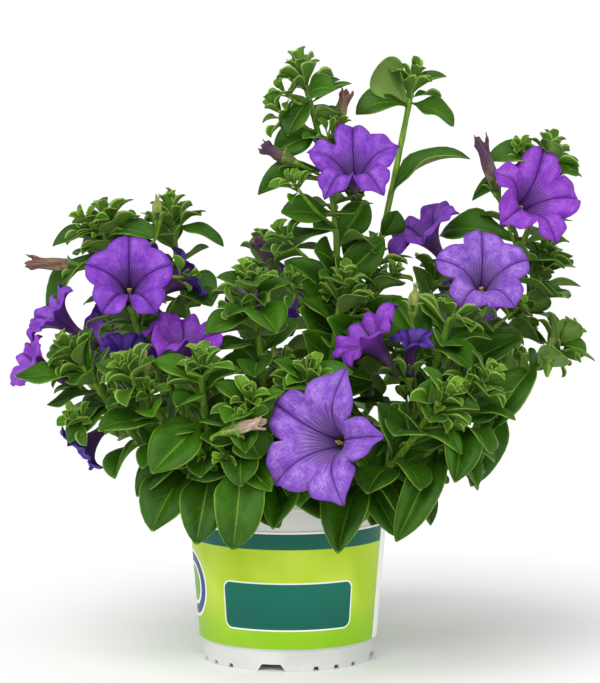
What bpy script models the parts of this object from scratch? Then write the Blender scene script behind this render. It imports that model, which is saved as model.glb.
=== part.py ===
"""A flowering petunia in its round nursery pot.

The pot stands on the ground with its axis on Z. The compost fills it, and a printed film wraps it.
Each shoot is one grown piece: its stem, its leaves, the young leaves at its tip, and the stalks and
calyces that carry its flowers. Each corolla is a piece of its own, which sits in its calyx.
All tables are in millimetres, measured from the middle of the pot's base.
"""

import math

import bmesh
import bpy
from mathutils import Matrix, Quaternion, Vector
from mathutils.bvhtree import BVHTree

MM = 0.001
GAP = 0.3  # clearance between pieces that touch
ROUND_STEPS = 28

# Pot
POT_HEIGHT = 100.0
RIM_RADIUS = 60.5
RIM_HEIGHT = 5.5
WALL = 1.2
WALL_TOP_RADIUS = 58.4
WALL_LOW_RADIUS = 51.6
WALL_LOW_Z = 12.5  # the wall steps in here, above the foot
FOOT_RADIUS = 50.3
FOOT_WALL = 1.8
FLOOR_Z = 4.0  # underside of the raised floor
PAD_RADIUS = 17.0  # middle of the base, which reaches the ground
WIDE_NOTCH = (11.0, 4.0)  # width and height of the large gaps in the foot
SLIT_NOTCH = (2.6, 2.4)
NOTCH_START_DEG = -101.0
SLIT_OFFSETS_DEG = (30.0, 45.0, 60.0)
DRAIN_RADIUS = 4.0
DRAIN_RING_RADIUS = 37.0

# Printed film
FILM = 0.3
FILM_LOW_Z = 13.2
FILM_HIGH_Z = 82.0
FILM_SEAM_DEG = 4.0  # open strip where the film's ends meet, at the back

# Compost
COMPOST_TOP_Z = 90.0
COMPOST_EDGE_Z = 88.0
COMPOST_FLAT_RADIUS = 40.0

# Plant
STEM_RADIUS = 2.1
STEM_TIP_RADIUS = 1.3
STEM_SPANS = 6
STALK_RADIUS = 1.0
CALYX_RADIUS = 3.0
CALYX_LENGTH = 7.0
BLADE_THICKNESS = 1.1
TUBE_RADIUS = 2.9
PETAL_WALL = 0.9
GOLDEN_DEG = 137.5
ROSETTE_BLADES = 3
SAFETY = 0.5  # extra clearance that a leaf keeps from other pieces

# Each shoot: where its stem leaves the compost (x, y), then the points that it passes, the last being its tip;
# how many leaves the rule sets on it, the length of its lowest and of its highest leaf, and the turn of the first.
SHOOTS = {
    "tall_middle": ([(4, 8), (25, 2, 190), (27, -4, 262), (9, 10, 340)], 6, 34, 19, 200),
    "tall_right": ([(13, 17), (41, 14, 190), (57, 10, 256), (73, 20, 334)], 3, 34, 26, 60),
    "high_far_right": ([(27, 4), (90, -6, 168), (135, 0, 239), (152, 10, 294)], 5, 38, 24, 15),
    "high_left": ([(-22, -6), (-72, -27, 165), (-97, -22, 226), (-104, -20, 255)], 4, 38, 24, 150),
    "high_back_left": ([(-16, 7), (-52, 8, 175), (-65, 14, 232), (-68, 15, 257)], 4, 36, 22, 20),
    "middle_left": ([(-6, -10), (-13, -40, 160), (-21, -55, 222)], 5, 38, 26, 100),
    "middle": ([(5, -12), (20, -28, 150), (31, -34, 219)], 5, 38, 26, 300),
    "middle_back": ([(15, 2), (36, -4, 160), (49, 2, 234)], 4, 38, 26, 30),
    "right": ([(17, -10), (68, -42, 140), (93, -55, 207)], 4, 38, 25, 330),
    "far_right": ([(31, -7), (88, -32, 122), (136, -26, 166), (157, -20, 187)], 5, 38, 24, 240),
    "back_right": ([(26, 15), (96, 14, 160), (140, 20, 203), (151, 22, 231)], 4, 36, 22, 90),
    "far_left": ([(-30, -16), (-74, -45, 122), (-104, -58, 160), (-120, -60, 183)], 4, 38, 24, 60),
    "front_left": ([(-21, -24), (-54, -66, 125), (-87, -95, 176)], 4, 40, 26, 210),
    "front_upright": ([(-12, -28), (-40, -76, 122), (-48, -100, 179)], 4, 42, 26, 10),
    "front_low": ([(-4, -22), (-24, -86, 124), (-22, -108, 160)], 4, 42, 24, 150),
    "front_right": ([(12, -28), (52, -72, 117), (84, -101, 162)], 4, 42, 27, 250),
    "right_front": ([(22, -20), (84, -66, 130), (108, -78, 168)], 4, 40, 25, 130),
    "front_middle": ([(3, -30), (4, -70, 130), (11, -92, 172)], 3, 40, 24, 80),
    "back_left": ([(-24, 18), (-70, 60, 150), (-96, 82, 208)], 5, 40, 26, 40),
    "back_middle": ([(-4, 26), (-8, 68, 165), (-14, 92, 244)], 6, 40, 24, 300),
    "back_far_right": ([(18, 28), (62, 68, 160), (92, 90, 218)], 5, 40, 26, 170),
    "low_back_left": ([(-32, 6), (-92, 36, 130), (-130, 44, 168)], 4, 40, 25, 290),
    "low_back_right": ([(33, 8), (92, 50, 126), (132, 60, 164)], 4, 40, 25, 110),
    "low_back": ([(6, 34), (24, 96, 120), (34, 126, 158)], 4, 42, 26, 220),
    "low_back_corner": ([(-14, 31), (-44, 90, 118), (-62, 118, 154)], 4, 42, 26, 330),
}

# Leaves set by hand where they shape the outline: shoot, place along its stem, tip, width, way the upper side faces.
PLACED_LEAVES = [
    ("tall_right", 0.93, (40, 12, 318), 22, (0.1, -0.5, 0.8)),
    ("tall_right", 0.95, (56, 6, 349), 17, (0.7, -0.6, 0.2)),
    ("tall_right", 0.94, (97, 16, 309), 21, (0.2, -0.4, 0.9)),
    ("tall_right", 0.98, (93, 20, 340), 12, (0.0, -0.4, 0.9)),
    ("tall_right", 0.80, (106, 6, 289), 16, (0.3, -0.4, 0.9)),
    ("tall_middle", 0.92, (0, -8, 306), 20, (-0.5, -0.8, 0.3)),
    ("tall_middle", 0.76, (-17, -12, 272), 19, (-0.3, -0.7, 0.7)),
    ("tall_middle", 0.70, (38, -28, 262), 22, (0.2, -0.8, 0.6)),
    ("tall_middle", 0.62, (-16, -14, 240), 22, (-0.3, -0.5, 0.8)),
    ("high_far_right", 0.93, (115, -14, 291), 21, (-0.2, -0.5, 0.8)),
    ("high_far_right", 0.94, (170, -4, 283), 19, (0.2, -0.6, 0.8)),
    ("high_left", 0.94, (-135, -26, 243), 17, (-0.1, -0.4, 0.9)),
    ("high_left", 0.95, (-76, -36, 248), 20, (0.1, -0.5, 0.8)),
    ("high_left", 0.80, (-138, -34, 204), 18, (-0.5, -0.5, 0.6)),
    ("high_back_left", 0.90, (-38, 6, 241), 16, (0.2, -0.4, 0.9)),
    ("far_left", 0.90, (-156, -64, 173), 17, (-0.1, -0.5, 0.8)),
    ("far_left", 0.62, (-122, -78, 136), 20, (-0.4, -0.6, 0.6)),
    ("front_left", 0.72, (-104, -106, 146), 22, (-0.3, -0.6, 0.7)),
    ("front_left", 0.50, (-92, -92, 112), 25, (-0.3, -0.7, 0.6)),
    ("front_upright", 0.74, (-74, -116, 124), 28, (-0.1, -0.8, 0.5)),
    ("front_upright", 0.55, (-50, -112, 84), 27, (0.0, -0.9, 0.4)),
    ("front_low", 0.62, (-30, -116, 82), 27, (0.1, -0.9, 0.3)),
    ("front_low", 0.78, (-2, -128, 138), 24, (0.1, -0.8, 0.5)),
    ("front_middle", 0.30, (-8, -98, 90), 21, (-0.2, -0.9, 0.3)),
    ("front_right", 0.36, (28, -108, 78), 27, (-0.2, -0.9, 0.3)),
    ("front_right", 0.56, (44, -112, 112), 25, (-0.2, -0.8, 0.5)),
    ("front_right", 0.74, (58, -128, 146), 24, (-0.1, -0.8, 0.6)),
    ("right_front", 0.58, (82, -108, 92), 24, (0.1, -0.9, 0.3)),
    ("right_front", 0.70, (92, -110, 118), 22, (0.2, -0.8, 0.5)),
    ("far_right", 0.62, (112, -56, 98), 22, (0.3, -0.8, 0.4)),
    ("far_right", 0.78, (116, -52, 140), 24, (-0.3, -0.8, 0.5)),
    ("far_right", 0.97, (172, -26, 182), 12, (0.2, -0.5, 0.8)),
    ("middle_left", 0.86, (-6, -82, 198), 24, (0.2, -0.8, 0.5)),
    ("middle_left", 0.84, (-46, -66, 196), 20, (-0.3, -0.6, 0.7)),
    ("middle", 0.84, (58, -74, 194), 22, (0.3, -0.6, 0.7)),
    ("right", 0.80, (66, -78, 184), 20, (-0.2, -0.7, 0.6)),
]

# Open flowers: shoot, place along its stem, middle of the mouth, way it faces, mouth diameter, length.
FLOWERS = {
    "top": ("tall_middle", 0.62, (38, -32, 287), (-0.10, -0.82, 0.56), 52, 36),
    "right_top": ("high_far_right", 0.78, (142, -16, 272), (0.35, -0.88, 0.30), 55, 37),
    "right": ("high_far_right", 0.48, (112, -48, 231), (0.05, -0.82, 0.57), 57, 37),
    "left": ("high_left", 0.62, (-89, -68, 228), (0.02, -0.93, 0.36), 55, 36),
    "front": ("front_middle", 0.50, (22, -130, 145), (-0.32, -0.91, 0.22), 65, 42),
    "right_side": ("high_far_right", 0.62, (77, 8, 256), (-0.75, -0.28, 0.60), 46, 34),
    "middle_side": ("right", 0.52, (41, -72, 202), (-0.62, -0.30, 0.72), 48, 34),
    "half_open": ("right", 0.66, (72, -76, 197), (0.05, -0.38, 0.92), 27, 25),
    "left_behind": ("high_back_left", 0.62, (-46, -10, 236), (0.62, 0.30, 0.72), 45, 34),
    "left_side": ("far_left", 0.66, (-137, -42, 208), (-0.62, -0.33, 0.71), 44, 36),
    "far_left": ("far_left", 0.52, (-149, -52, 180), (-0.86, -0.28, 0.42), 42, 34),
    "left_low": ("high_left", 0.42, (-91, -50, 194), (0.15, -0.42, 0.89), 36, 30),
    "left_ruffled": ("front_left", 0.34, (-58, -60, 197), (0.00, -0.32, 0.94), 50, 36),
    "left_under": ("far_left", 0.34, (-121, -24, 124), (-0.72, -0.30, -0.62), 42, 32),
    "left_back": ("high_left", 0.66, (-98, 26, 242), (0.08, 0.76, 0.64), 46, 34),
    "back_top": ("back_middle", 0.66, (-20, 130, 228), (-0.10, 0.90, 0.42), 55, 37),
    "back_right": ("back_far_right", 0.48, (113, 113, 194), (0.55, 0.75, 0.36), 56, 37),
    "back_low": ("low_back", 0.34, (-4, 146, 138), (-0.32, 0.91, 0.25), 58, 38),
    "back_left": ("back_left", 0.46, (-113, 105, 188), (-0.50, 0.80, 0.34), 54, 37),
}

# Closed and faded flowers: shoot, place along its stem, calyx end, free end, diameter.
CLOSED_FLOWERS = {
    "faded_left": ("high_left", 0.78, (-121, -30, 232), (-148, -32, 235), 8.0),
    "faded_middle": ("tall_middle", 0.74, (3, -12, 291), (-15, -14, 299), 7.5),
    "faded_right": ("high_far_right", 0.66, (121, -6, 274), (111, -7, 304), 8.5),
    "faded_behind": ("tall_middle", 0.40, (-8, 2, 228), (-17, 0, 246), 8.0),
    "bud_top": ("tall_middle", 0.84, (28, 5, 311), (35, 6, 331), 7.5),
    "dried_front": ("front_low", 0.56, (-32, -120, 148), (-14, -126, 154), 7.0),
}

# How a leaf is turned about its foot, in degrees sideways and up, until it is clear of its neighbours.
SWINGS = [(0, 0), (0, 14), (16, 0), (-16, 0), (0, -14), (24, 14), (-24, 14), (34, 0), (-34, 0), (45, 18), (-45, 18)]

COLOURS = {
    "pot": (0.86, 0.86, 0.84, 1.0),
    "film": (0.55, 0.75, 0.10, 1.0),
    "compost": (0.05, 0.03, 0.02, 1.0),
    "leaf": (0.10, 0.22, 0.04, 1.0),
    "petal": (0.28, 0.10, 0.62, 1.0),
    "faded": (0.16, 0.05, 0.10, 1.0),
}


def clear_scene():
    for obj in list(bpy.data.objects):
        bpy.data.objects.remove(obj)


def material(name, roughness):
    made = bpy.data.materials.new(name)
    made.use_nodes = True
    shader = made.node_tree.nodes["Principled BSDF"]
    shader.inputs["Base Color"].default_value = COLOURS[name]
    shader.inputs["Roughness"].default_value = roughness
    return made


def new_object(name, mesh, collection, finish=None):
    obj = bpy.data.objects.new(name, mesh)
    collection.objects.link(obj)
    if finish:
        mesh.materials.append(finish)
    return obj


def evaluated_mesh(obj):
    """A copy of the object's mesh with its modifiers applied."""
    graph = bpy.context.evaluated_depsgraph_get()
    return bpy.data.meshes.new_from_object(obj.evaluated_get(graph), depsgraph=graph)


def turned(name, profile, collection, finish=None, steps=ROUND_STEPS, angle=360.0):
    """A profile of (radius, height) points in mm, turned about Z. It runs down its outer side."""
    mesh = bpy.data.meshes.new(name)
    points = [(r * MM, 0.0, z * MM) for r, z in profile]
    mesh.from_pydata(points, [(i, i + 1) for i in range(len(points) - 1)], [])
    obj = new_object(name, mesh, collection, finish)
    screw = obj.modifiers.new("Turn", "SCREW")
    screw.axis = "Z"
    screw.angle = math.radians(angle)
    screw.steps = screw.render_steps = steps
    screw.use_merge_vertices = angle == 360.0
    screw.merge_threshold = 0.00005
    screw.use_smooth_shade = True
    return obj


def wall_radius(z):
    """Outer radius of the pot's wall at a height."""
    share = (z - WALL_LOW_Z) / (POT_HEIGHT - RIM_HEIGHT - WALL_LOW_Z)
    return WALL_LOW_RADIUS + share * (WALL_TOP_RADIUS - WALL_LOW_RADIUS)


# --- pot, film and compost -------------------------------------------------------------------------


def notch_cutters(collection):
    """Boxes that cut the gaps in the foot and the drain holes in the raised floor, joined in one cutter."""
    bm = bmesh.new()

    def box(angle_deg, width, height):
        angle = math.radians(angle_deg)
        place = Matrix.Rotation(angle, 4, "Z") @ Matrix.Translation((FOOT_RADIUS * MM, 0.0, 0.0))
        size = Matrix.Diagonal((6.0 * MM, width * MM, 2.0 * height * MM, 1.0))
        bmesh.ops.create_cube(bm, size=1.0, matrix=place @ size)

    for quarter in range(4):
        wide = NOTCH_START_DEG + 90.0 * quarter
        box(wide, *WIDE_NOTCH)
        for offset in SLIT_OFFSETS_DEG:
            box(wide + offset, *SLIT_NOTCH)
        spot = Matrix.Rotation(math.radians(wide + 45.0), 4, "Z")
        spot = spot @ Matrix.Translation((DRAIN_RING_RADIUS * MM, 0.0, FLOOR_Z * MM))
        bmesh.ops.create_cone(bm, cap_ends=True, segments=8, radius1=DRAIN_RADIUS * MM,
                              radius2=DRAIN_RADIUS * MM, depth=6.0 * MM, matrix=spot)
    mesh = bpy.data.meshes.new("foot_cutters")
    bm.to_mesh(mesh)
    bm.free()
    cutter = new_object("foot_cutters", mesh, collection)
    cutter.hide_render = True
    cutter.display_type = "WIRE"
    return cutter


def pot_profile():
    wall_top = POT_HEIGHT - RIM_HEIGHT
    floor_top = FLOOR_Z + WALL
    return [
        (0.0, WALL),
        (PAD_RADIUS - WALL, WALL),
        (PAD_RADIUS + 2.0, floor_top),
        (wall_radius(floor_top) - 2.0 * WALL, floor_top),
        (wall_radius(floor_top + 1.5) - WALL, floor_top + 1.5),
        (WALL_TOP_RADIUS - WALL, wall_top),
        (RIM_RADIUS - WALL, wall_top + 1.5),
        (RIM_RADIUS - WALL, POT_HEIGHT),
        (RIM_RADIUS, POT_HEIGHT),
        (RIM_RADIUS, wall_top + 0.6),
        (WALL_TOP_RADIUS, wall_top - 0.6),
        (WALL_LOW_RADIUS, WALL_LOW_Z),
        (FOOT_RADIUS + 0.5, WALL_LOW_Z - 0.8),
        (FOOT_RADIUS, 0.0),
        (FOOT_RADIUS - FOOT_WALL, 0.0),
        (FOOT_RADIUS - FOOT_WALL - 0.4, FLOOR_Z),
        (PAD_RADIUS + 3.2, FLOOR_Z),
        (PAD_RADIUS, 0.0),
        (0.0, 0.0),
    ]


def make_pot(parts, cutters, finish):
    pot = turned("pot", pot_profile(), parts, finish)
    cut = pot.modifiers.new("Notches", "BOOLEAN")
    cut.operation = "DIFFERENCE"
    cut.object = notch_cutters(cutters)
    return pot


def make_film(parts, finish):
    """The printed film round the wall, open along a seam at the back."""
    line = [(wall_radius(z) + GAP + FILM, z) for z in (FILM_HIGH_Z, FILM_LOW_Z)]
    film = turned("printed_film", line, parts, finish, angle=360.0 - FILM_SEAM_DEG)
    film.rotation_euler.z = math.radians(90.0 + FILM_SEAM_DEG / 2.0)
    thick = film.modifiers.new("Thickness", "SOLIDIFY")
    thick.thickness = FILM * MM
    thick.offset = -1.0
    return film


def make_compost(parts, finish):
    side = WALL + GAP
    low = FLOOR_Z + WALL + GAP
    profile = [
        (0.0, COMPOST_TOP_Z),
        (COMPOST_FLAT_RADIUS, COMPOST_TOP_Z),
        (wall_radius(COMPOST_EDGE_Z) - side, COMPOST_EDGE_Z),
        (wall_radius(low + 1.5) - side, low + 1.5),
        (wall_radius(low) - side - WALL, low),
        (PAD_RADIUS + 1.6, low),
        (PAD_RADIUS - WALL - 0.6, WALL + GAP),
        (0.0, WALL + GAP),
    ]
    return turned("potting_compost", profile, parts, finish)


# --- plant curves ----------------------------------------------------------------------------------


def stem_points(name):
    """The points that a shoot's stem passes, in mm, with two upright ones where it leaves the compost."""
    (x, y), *rest = SHOOTS[name][0]
    base = Vector((x, y, COMPOST_TOP_Z + GAP))
    return [base, base + Vector((0, 0, 6))] + [Vector(p) for p in rest]


def along(points, t):
    """Point at a share t of a smooth curve through the points (Catmull-Rom)."""
    place = min(max(t, 0.0), 1.0) * (len(points) - 1)
    i = min(int(place), len(points) - 2)
    u = place - i
    a, b, c, d = (points[min(max(j, 0), len(points) - 1)] for j in (i - 1, i, i + 1, i + 2))
    return 0.5 * (2 * b + (c - a) * u + (2 * a - 5 * b + 4 * c - d) * u**2 + (3 * b - a - 3 * c + d) * u**3)


def stem_at(name, t):
    """Point on a stem, where t runs from 0 at the first leaf-bearing point, just above the compost, to 1 at its tip."""
    points = stem_points(name)
    start = 1.0 / (len(points) - 1)
    return along(points, start + (1.0 - start) * t)


def stem_direction(name, t):
    return (stem_at(name, min(t + 0.02, 1.0)) - stem_at(name, t - 0.02)).normalized()


def tube(name, points, radii, collection, sides=6):
    """A closed tube along the points, in mm, as a mesh."""
    curve = bpy.data.curves.new(name, "CURVE")
    curve.dimensions = "3D"
    curve.bevel_depth = MM
    curve.bevel_resolution = (sides - 4) // 2
    curve.use_fill_caps = True
    spline = curve.splines.new("POLY")
    spline.points.add(len(points) - 1)
    for knot, point, radius in zip(spline.points, points, radii):
        knot.co = (*(point * MM), 1.0)
        knot.radius = radius
    obj = bpy.data.objects.new(name, curve)
    collection.objects.link(obj)
    mesh = evaluated_mesh(obj)
    bpy.data.objects.remove(obj)
    bm = bmesh.new()
    bm.from_mesh(mesh)
    bmesh.ops.remove_doubles(bm, verts=bm.verts, dist=0.00001)
    bmesh.ops.recalc_face_normals(bm, faces=bm.faces)
    bm.to_mesh(mesh)
    bm.free()
    return new_object(name, mesh, collection)


def make_stem(name, collection):
    points = stem_points(name)
    path = [points[0]] + [stem_at(name, i / STEM_SPANS) for i in range(STEM_SPANS + 1)]
    last = len(path) - 1
    radii = [STEM_RADIUS + (STEM_TIP_RADIUS - STEM_RADIUS) * i / last for i in range(len(path))]
    return tube(name, path, radii, collection)


# --- leaves ----------------------------------------------------------------------------------------


def blade_template(rings):
    """Vertices and faces of a four-sided sphere, whose poles become a leaf's foot and tip."""
    bm = bmesh.new()
    bmesh.ops.create_uvsphere(bm, u_segments=4, v_segments=rings + 1, radius=1.0)
    bm.verts.ensure_lookup_table()
    points = [v.co.copy() for v in bm.verts]
    faces = [[v.index for v in f.verts] for f in bm.faces]
    bm.free()
    return points, faces


LEAF_TEMPLATE = blade_template(3)
YOUNG_TEMPLATE = blade_template(2)


def outline(u):
    """Half the width of a leaf at a share u of its length, as a share of its greatest half width."""
    return math.sin(math.pi * u**0.85) ** 0.8


def blade(foot, tip, face, width, template, arch=0.10, extra=0.0):
    """Vertices in mm and faces of a leaf: a lens in section, arched from its foot to its tip."""
    points, faces = template
    chord = tip - foot
    length = chord.length
    ahead = chord.normalized()
    side = ahead.cross(Vector(face)).normalized()
    up = side.cross(ahead)
    made = []
    for p in points:
        u = min(max((1.0 - p.z) / 2.0, 0.0), 1.0)
        ring = math.hypot(p.x, p.y)
        across, through = (p.x / ring, p.y / ring) if ring > 1e-6 else (0.0, 0.0)
        centre = foot + chord * u + up * (arch * length * 4.0 * u * (1.0 - u))
        half = outline(u) * width / 2.0 + extra
        lift = 0.18 * half * abs(across)
        thick = BLADE_THICKNESS / 2.0 + extra
        made.append(centre + side * across * half + up * (through * thick + lift))
    return made, faces


def rule_leaves(name):
    """(foot, tip, face, width) of the leaves that a shoot carries by rule: they turn about the stem by the
    golden angle, get shorter towards its tip, and hang lower down the stem."""
    _, count, longest, shortest, turn = SHOOTS[name]
    made = []
    for i in range(count):
        t = 0.26 + 0.66 * i / max(count - 1, 1)
        foot = stem_at(name, t)
        axis = stem_direction(name, t)
        length = longest + (shortest - longest) * i / max(count - 1, 1)
        out = Vector((1, 0, 0)) if abs(axis.x) < 0.8 else Vector((0, 1, 0))
        out = (out - axis * out.dot(axis)).normalized()
        out = Quaternion(axis, math.radians(turn + GOLDEN_DEG * i)) @ out
        rise = 0.15 + 0.45 * t
        ahead = (out + axis * rise).normalized()
        ahead.z -= 0.30 * (1.0 - t)
        tip = foot + ahead.normalized() * length
        face = (axis + Vector((0, 0, 0.8)) - ahead * 0.2).normalized()
        made.append((foot, tip, face, length * 0.60))
    return made


def placed_leaves(name):
    found = []
    for shoot, t, tip, width, face in PLACED_LEAVES:
        if shoot == name:
            found.append((stem_at(shoot, t), Vector(tip), Vector(face).normalized(), float(width)))
    return found


def swung(foot, tip, face, sideways_deg, up_deg):
    """The tip of a leaf after it is turned about its foot."""
    chord = tip - foot
    side = chord.cross(face).normalized()
    chord = Quaternion(side, math.radians(up_deg)) @ chord
    return foot + Quaternion(face, math.radians(sideways_deg)) @ chord


def tree_of(points, faces):
    return BVHTree.FromPolygons(points, faces)


def tree_of_object(obj):
    """Search tree of an object's evaluated mesh, in mm."""
    mesh = evaluated_mesh(obj)
    points = [obj.matrix_world @ v.co / MM for v in mesh.vertices]
    faces = [list(p.vertices) for p in mesh.polygons]
    return tree_of(points, faces)


def is_clear(tree, name, taken):
    return not any(owner != name and tree.overlap(other) for owner, other in taken)


def solid_from(points, faces, name, collection):
    mesh = bpy.data.meshes.new(name)
    mesh.from_pydata([p * MM for p in points], [], faces)
    bm = bmesh.new()
    bm.from_mesh(mesh)
    bmesh.ops.recalc_face_normals(bm, faces=bm.faces)
    bm.to_mesh(mesh)
    bm.free()
    return new_object(name, mesh, collection)


def rosette_leaves(name):
    """The young leaves that stand round a shoot's tip."""
    tip = stem_at(name, 1.0)
    axis = stem_direction(name, 1.0)
    out = axis.orthogonal().normalized()
    made = []
    for i in range(ROSETTE_BLADES):
        lean = Quaternion(axis, math.radians(GOLDEN_DEG * i)) @ out
        reach = 15.0 - 1.4 * i
        ahead = (lean * (0.95 - 0.17 * i) + axis * (0.55 + 0.2 * i)).normalized()
        made.append((tip - axis * 1.5, tip + ahead * reach, (axis - lean * 0.3).normalized(), 8.0 - 0.5 * i))
    return made


def add_leaves(name, helpers, taken):
    """The leaf solids of a shoot, each turned until it is clear of the other pieces, or left out."""
    solids = []
    for template, leaves in ((LEAF_TEMPLATE, placed_leaves(name)),
                             (YOUNG_TEMPLATE, rosette_leaves(name) + rule_leaves(name))):
        for foot, tip, face, width in leaves:
            for sideways, up in SWINGS:
                end = swung(foot, tip, face, sideways, up)
                room = tree_of(*blade(foot, end, face, width, template, extra=SAFETY))
                if is_clear(room, name, taken):
                    points, faces = blade(foot, end, face, width, template)
                    solids.append(solid_from(points, faces, name + "_leaf", helpers))
                    taken.append((name, room))
                    break
    return solids


# --- flowers ---------------------------------------------------------------------------------------


def flower_base(flower):
    _, _, mouth, facing, _, length = FLOWERS[flower]
    return Vector(mouth) - Vector(facing).normalized() * length


def stalk(name, foot, end, facing, helpers):
    """A flower's stalk, from the stem to the calyx, and the calyx, as two solids."""
    facing = facing.normalized()
    calyx_end = end - facing * GAP
    calyx_start = calyx_end - facing * CALYX_LENGTH
    reach = (calyx_start - foot).length
    bend = calyx_start - facing * 0.4 * reach
    path = [foot]
    for i in range(1, 4):
        u = i / 3.0
        path.append(foot * (1 - u) ** 2 + bend * 2 * u * (1 - u) + calyx_start * u**2)
    path.append(calyx_start + facing * 2.0)
    stem = tube(name + "_stalk", path, [STALK_RADIUS] * len(path), helpers, sides=4)
    bm = bmesh.new()
    turn = facing.to_track_quat("Z", "Y").to_matrix().to_4x4()
    centre = Matrix.Translation((calyx_start + facing * CALYX_LENGTH / 2.0) * MM)
    bmesh.ops.create_cone(bm, cap_ends=True, segments=5, radius1=1.6 * MM, radius2=CALYX_RADIUS * MM,
                          depth=CALYX_LENGTH * MM, matrix=centre @ turn)
    mesh = bpy.data.meshes.new(name + "_calyx")
    bm.to_mesh(mesh)
    bm.free()
    return [stem, new_object(name + "_calyx", mesh, helpers)]


def corolla_profile(radius, length):
    """Half section of a trumpet flower: up its throat, over the rim, and down its outer side."""
    throat = max(radius * 0.26, TUBE_RADIUS + 1.4)
    outer = [
        (radius, length - 1.0),
        (radius * 0.60, length - 1.6),
        (throat, length * 0.66),
        (TUBE_RADIUS, 0.0),
        (0.0, 0.0),
    ]
    inner = [
        (0.0, length * 0.30),
        (throat - PETAL_WALL, length * 0.68),
        (radius * 0.60 - PETAL_WALL * 0.5, length - 1.6 + PETAL_WALL),
        (radius, length - 1.0 + PETAL_WALL),
    ]
    return inner + outer


def make_corolla(flower, parts, helpers, finish):
    """A trumpet with five lobes: the rim is drawn in between them."""
    _, _, _, facing, diameter, length = FLOWERS[flower]
    radius = diameter / 2.0
    draft = turned(flower, corolla_profile(radius, length), helpers, steps=10)
    mesh = evaluated_mesh(draft)
    bpy.data.objects.remove(draft)
    for v in mesh.vertices:
        share = math.hypot(v.co.x, v.co.y) / (radius * MM)
        between = round(math.degrees(math.atan2(v.co.y, v.co.x)) / 36.0) % 2
        if share > 0.6 and between:
            pull = 1.0 - 0.16 * (share - 0.6) / 0.4
            v.co.x *= pull
            v.co.y *= pull
    turn = Vector(facing).normalized().to_track_quat("Z", "Y").to_matrix().to_4x4()
    mesh.transform(Matrix.Translation(flower_base(flower) * MM) @ turn)
    return new_object("corolla_" + flower, mesh, parts, finish)


def make_closed_flower(flower, parts, helpers, finish):
    """A bud or a faded flower: a rolled tube that is widest at its free end."""
    _, _, base, end, diameter = CLOSED_FLOWERS[flower]
    base, end = Vector(base), Vector(end)
    length = (end - base).length
    radius = diameter / 2.0
    profile = [
        (0.0, length * 0.94),
        (radius, length),
        (radius * 0.72, length * 0.75),
        (radius * 0.85, length * 0.40),
        (TUBE_RADIUS * 0.85, 0.0),
        (0.0, 0.0),
    ]
    draft = turned(flower, profile, helpers, steps=8)
    mesh = evaluated_mesh(draft)
    bpy.data.objects.remove(draft)
    turn = (end - base).normalized().to_track_quat("Z", "Y").to_matrix().to_4x4()
    mesh.transform(Matrix.Translation(base * MM) @ turn)
    return new_object(flower, mesh, parts, finish)


def stalks_of(shoot, helpers):
    """The stalks and calyces of the flowers that a shoot carries."""
    solids = []
    for flower, (owner, t, _, facing, _, _) in FLOWERS.items():
        if owner == shoot:
            solids += stalk(flower, stem_at(shoot, t), flower_base(flower), Vector(facing), helpers)
    for flower, (owner, t, base, end, _) in CLOSED_FLOWERS.items():
        if owner == shoot:
            base, end = Vector(base), Vector(end)
            solids += stalk(flower, stem_at(shoot, t), base, end - base, helpers)
    return solids


def join(stem, solids, name, collection, finish):
    """One grown piece from a stem and what it carries."""
    group = bpy.data.collections.new(name + "_solids")
    for solid in solids:
        group.objects.link(solid)
    union = stem.modifiers.new("Join", "BOOLEAN")
    union.operation = "UNION"
    union.operand_type = "COLLECTION"
    union.collection = group
    union.use_self = True
    mesh = evaluated_mesh(stem)
    for obj in [stem, *solids]:
        bpy.data.objects.remove(obj)
    bpy.data.collections.remove(group)
    mesh.materials.clear()
    return new_object(name, mesh, collection, finish)


def main():
    clear_scene()
    parts = bpy.data.collections.new("potted_petunia")
    helpers = bpy.data.collections.new("helpers")
    for collection in (parts, helpers):
        bpy.context.scene.collection.children.link(collection)
    leaf, petal, faded = material("leaf", 0.55), material("petal", 0.5), material("faded", 0.7)

    pot = make_pot(parts, helpers, material("pot", 0.35))
    film = make_film(parts, material("film", 0.3))
    compost = make_compost(parts, material("compost", 0.95))
    corollas = [make_corolla(f, parts, helpers, petal) for f in FLOWERS]
    corollas += [make_closed_flower(f, parts, helpers, faded) for f in CLOSED_FLOWERS]
    bpy.context.view_layer.update()
    taken = [(obj.name, tree_of_object(obj)) for obj in (pot, film, compost, *corollas)]

    stems = {name: make_stem(name, helpers) for name in SHOOTS}
    stalks = {name: stalks_of(name, helpers) for name in SHOOTS}
    for name in SHOOTS:
        taken += [(name, tree_of_object(obj)) for obj in [stems[name], *stalks[name]]]
    for name in SHOOTS:
        leaves = add_leaves(name, helpers, taken)
        join(stems[name], stalks[name] + leaves, "shoot_" + name, parts, leaf)


main()
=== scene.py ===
"""A flowering petunia in its printed nursery pot: the looks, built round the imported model."""

import math
import random

import bpy
from mathutils import Matrix, Quaternion, Vector
from mathutils.bvhtree import BVHTree


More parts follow.
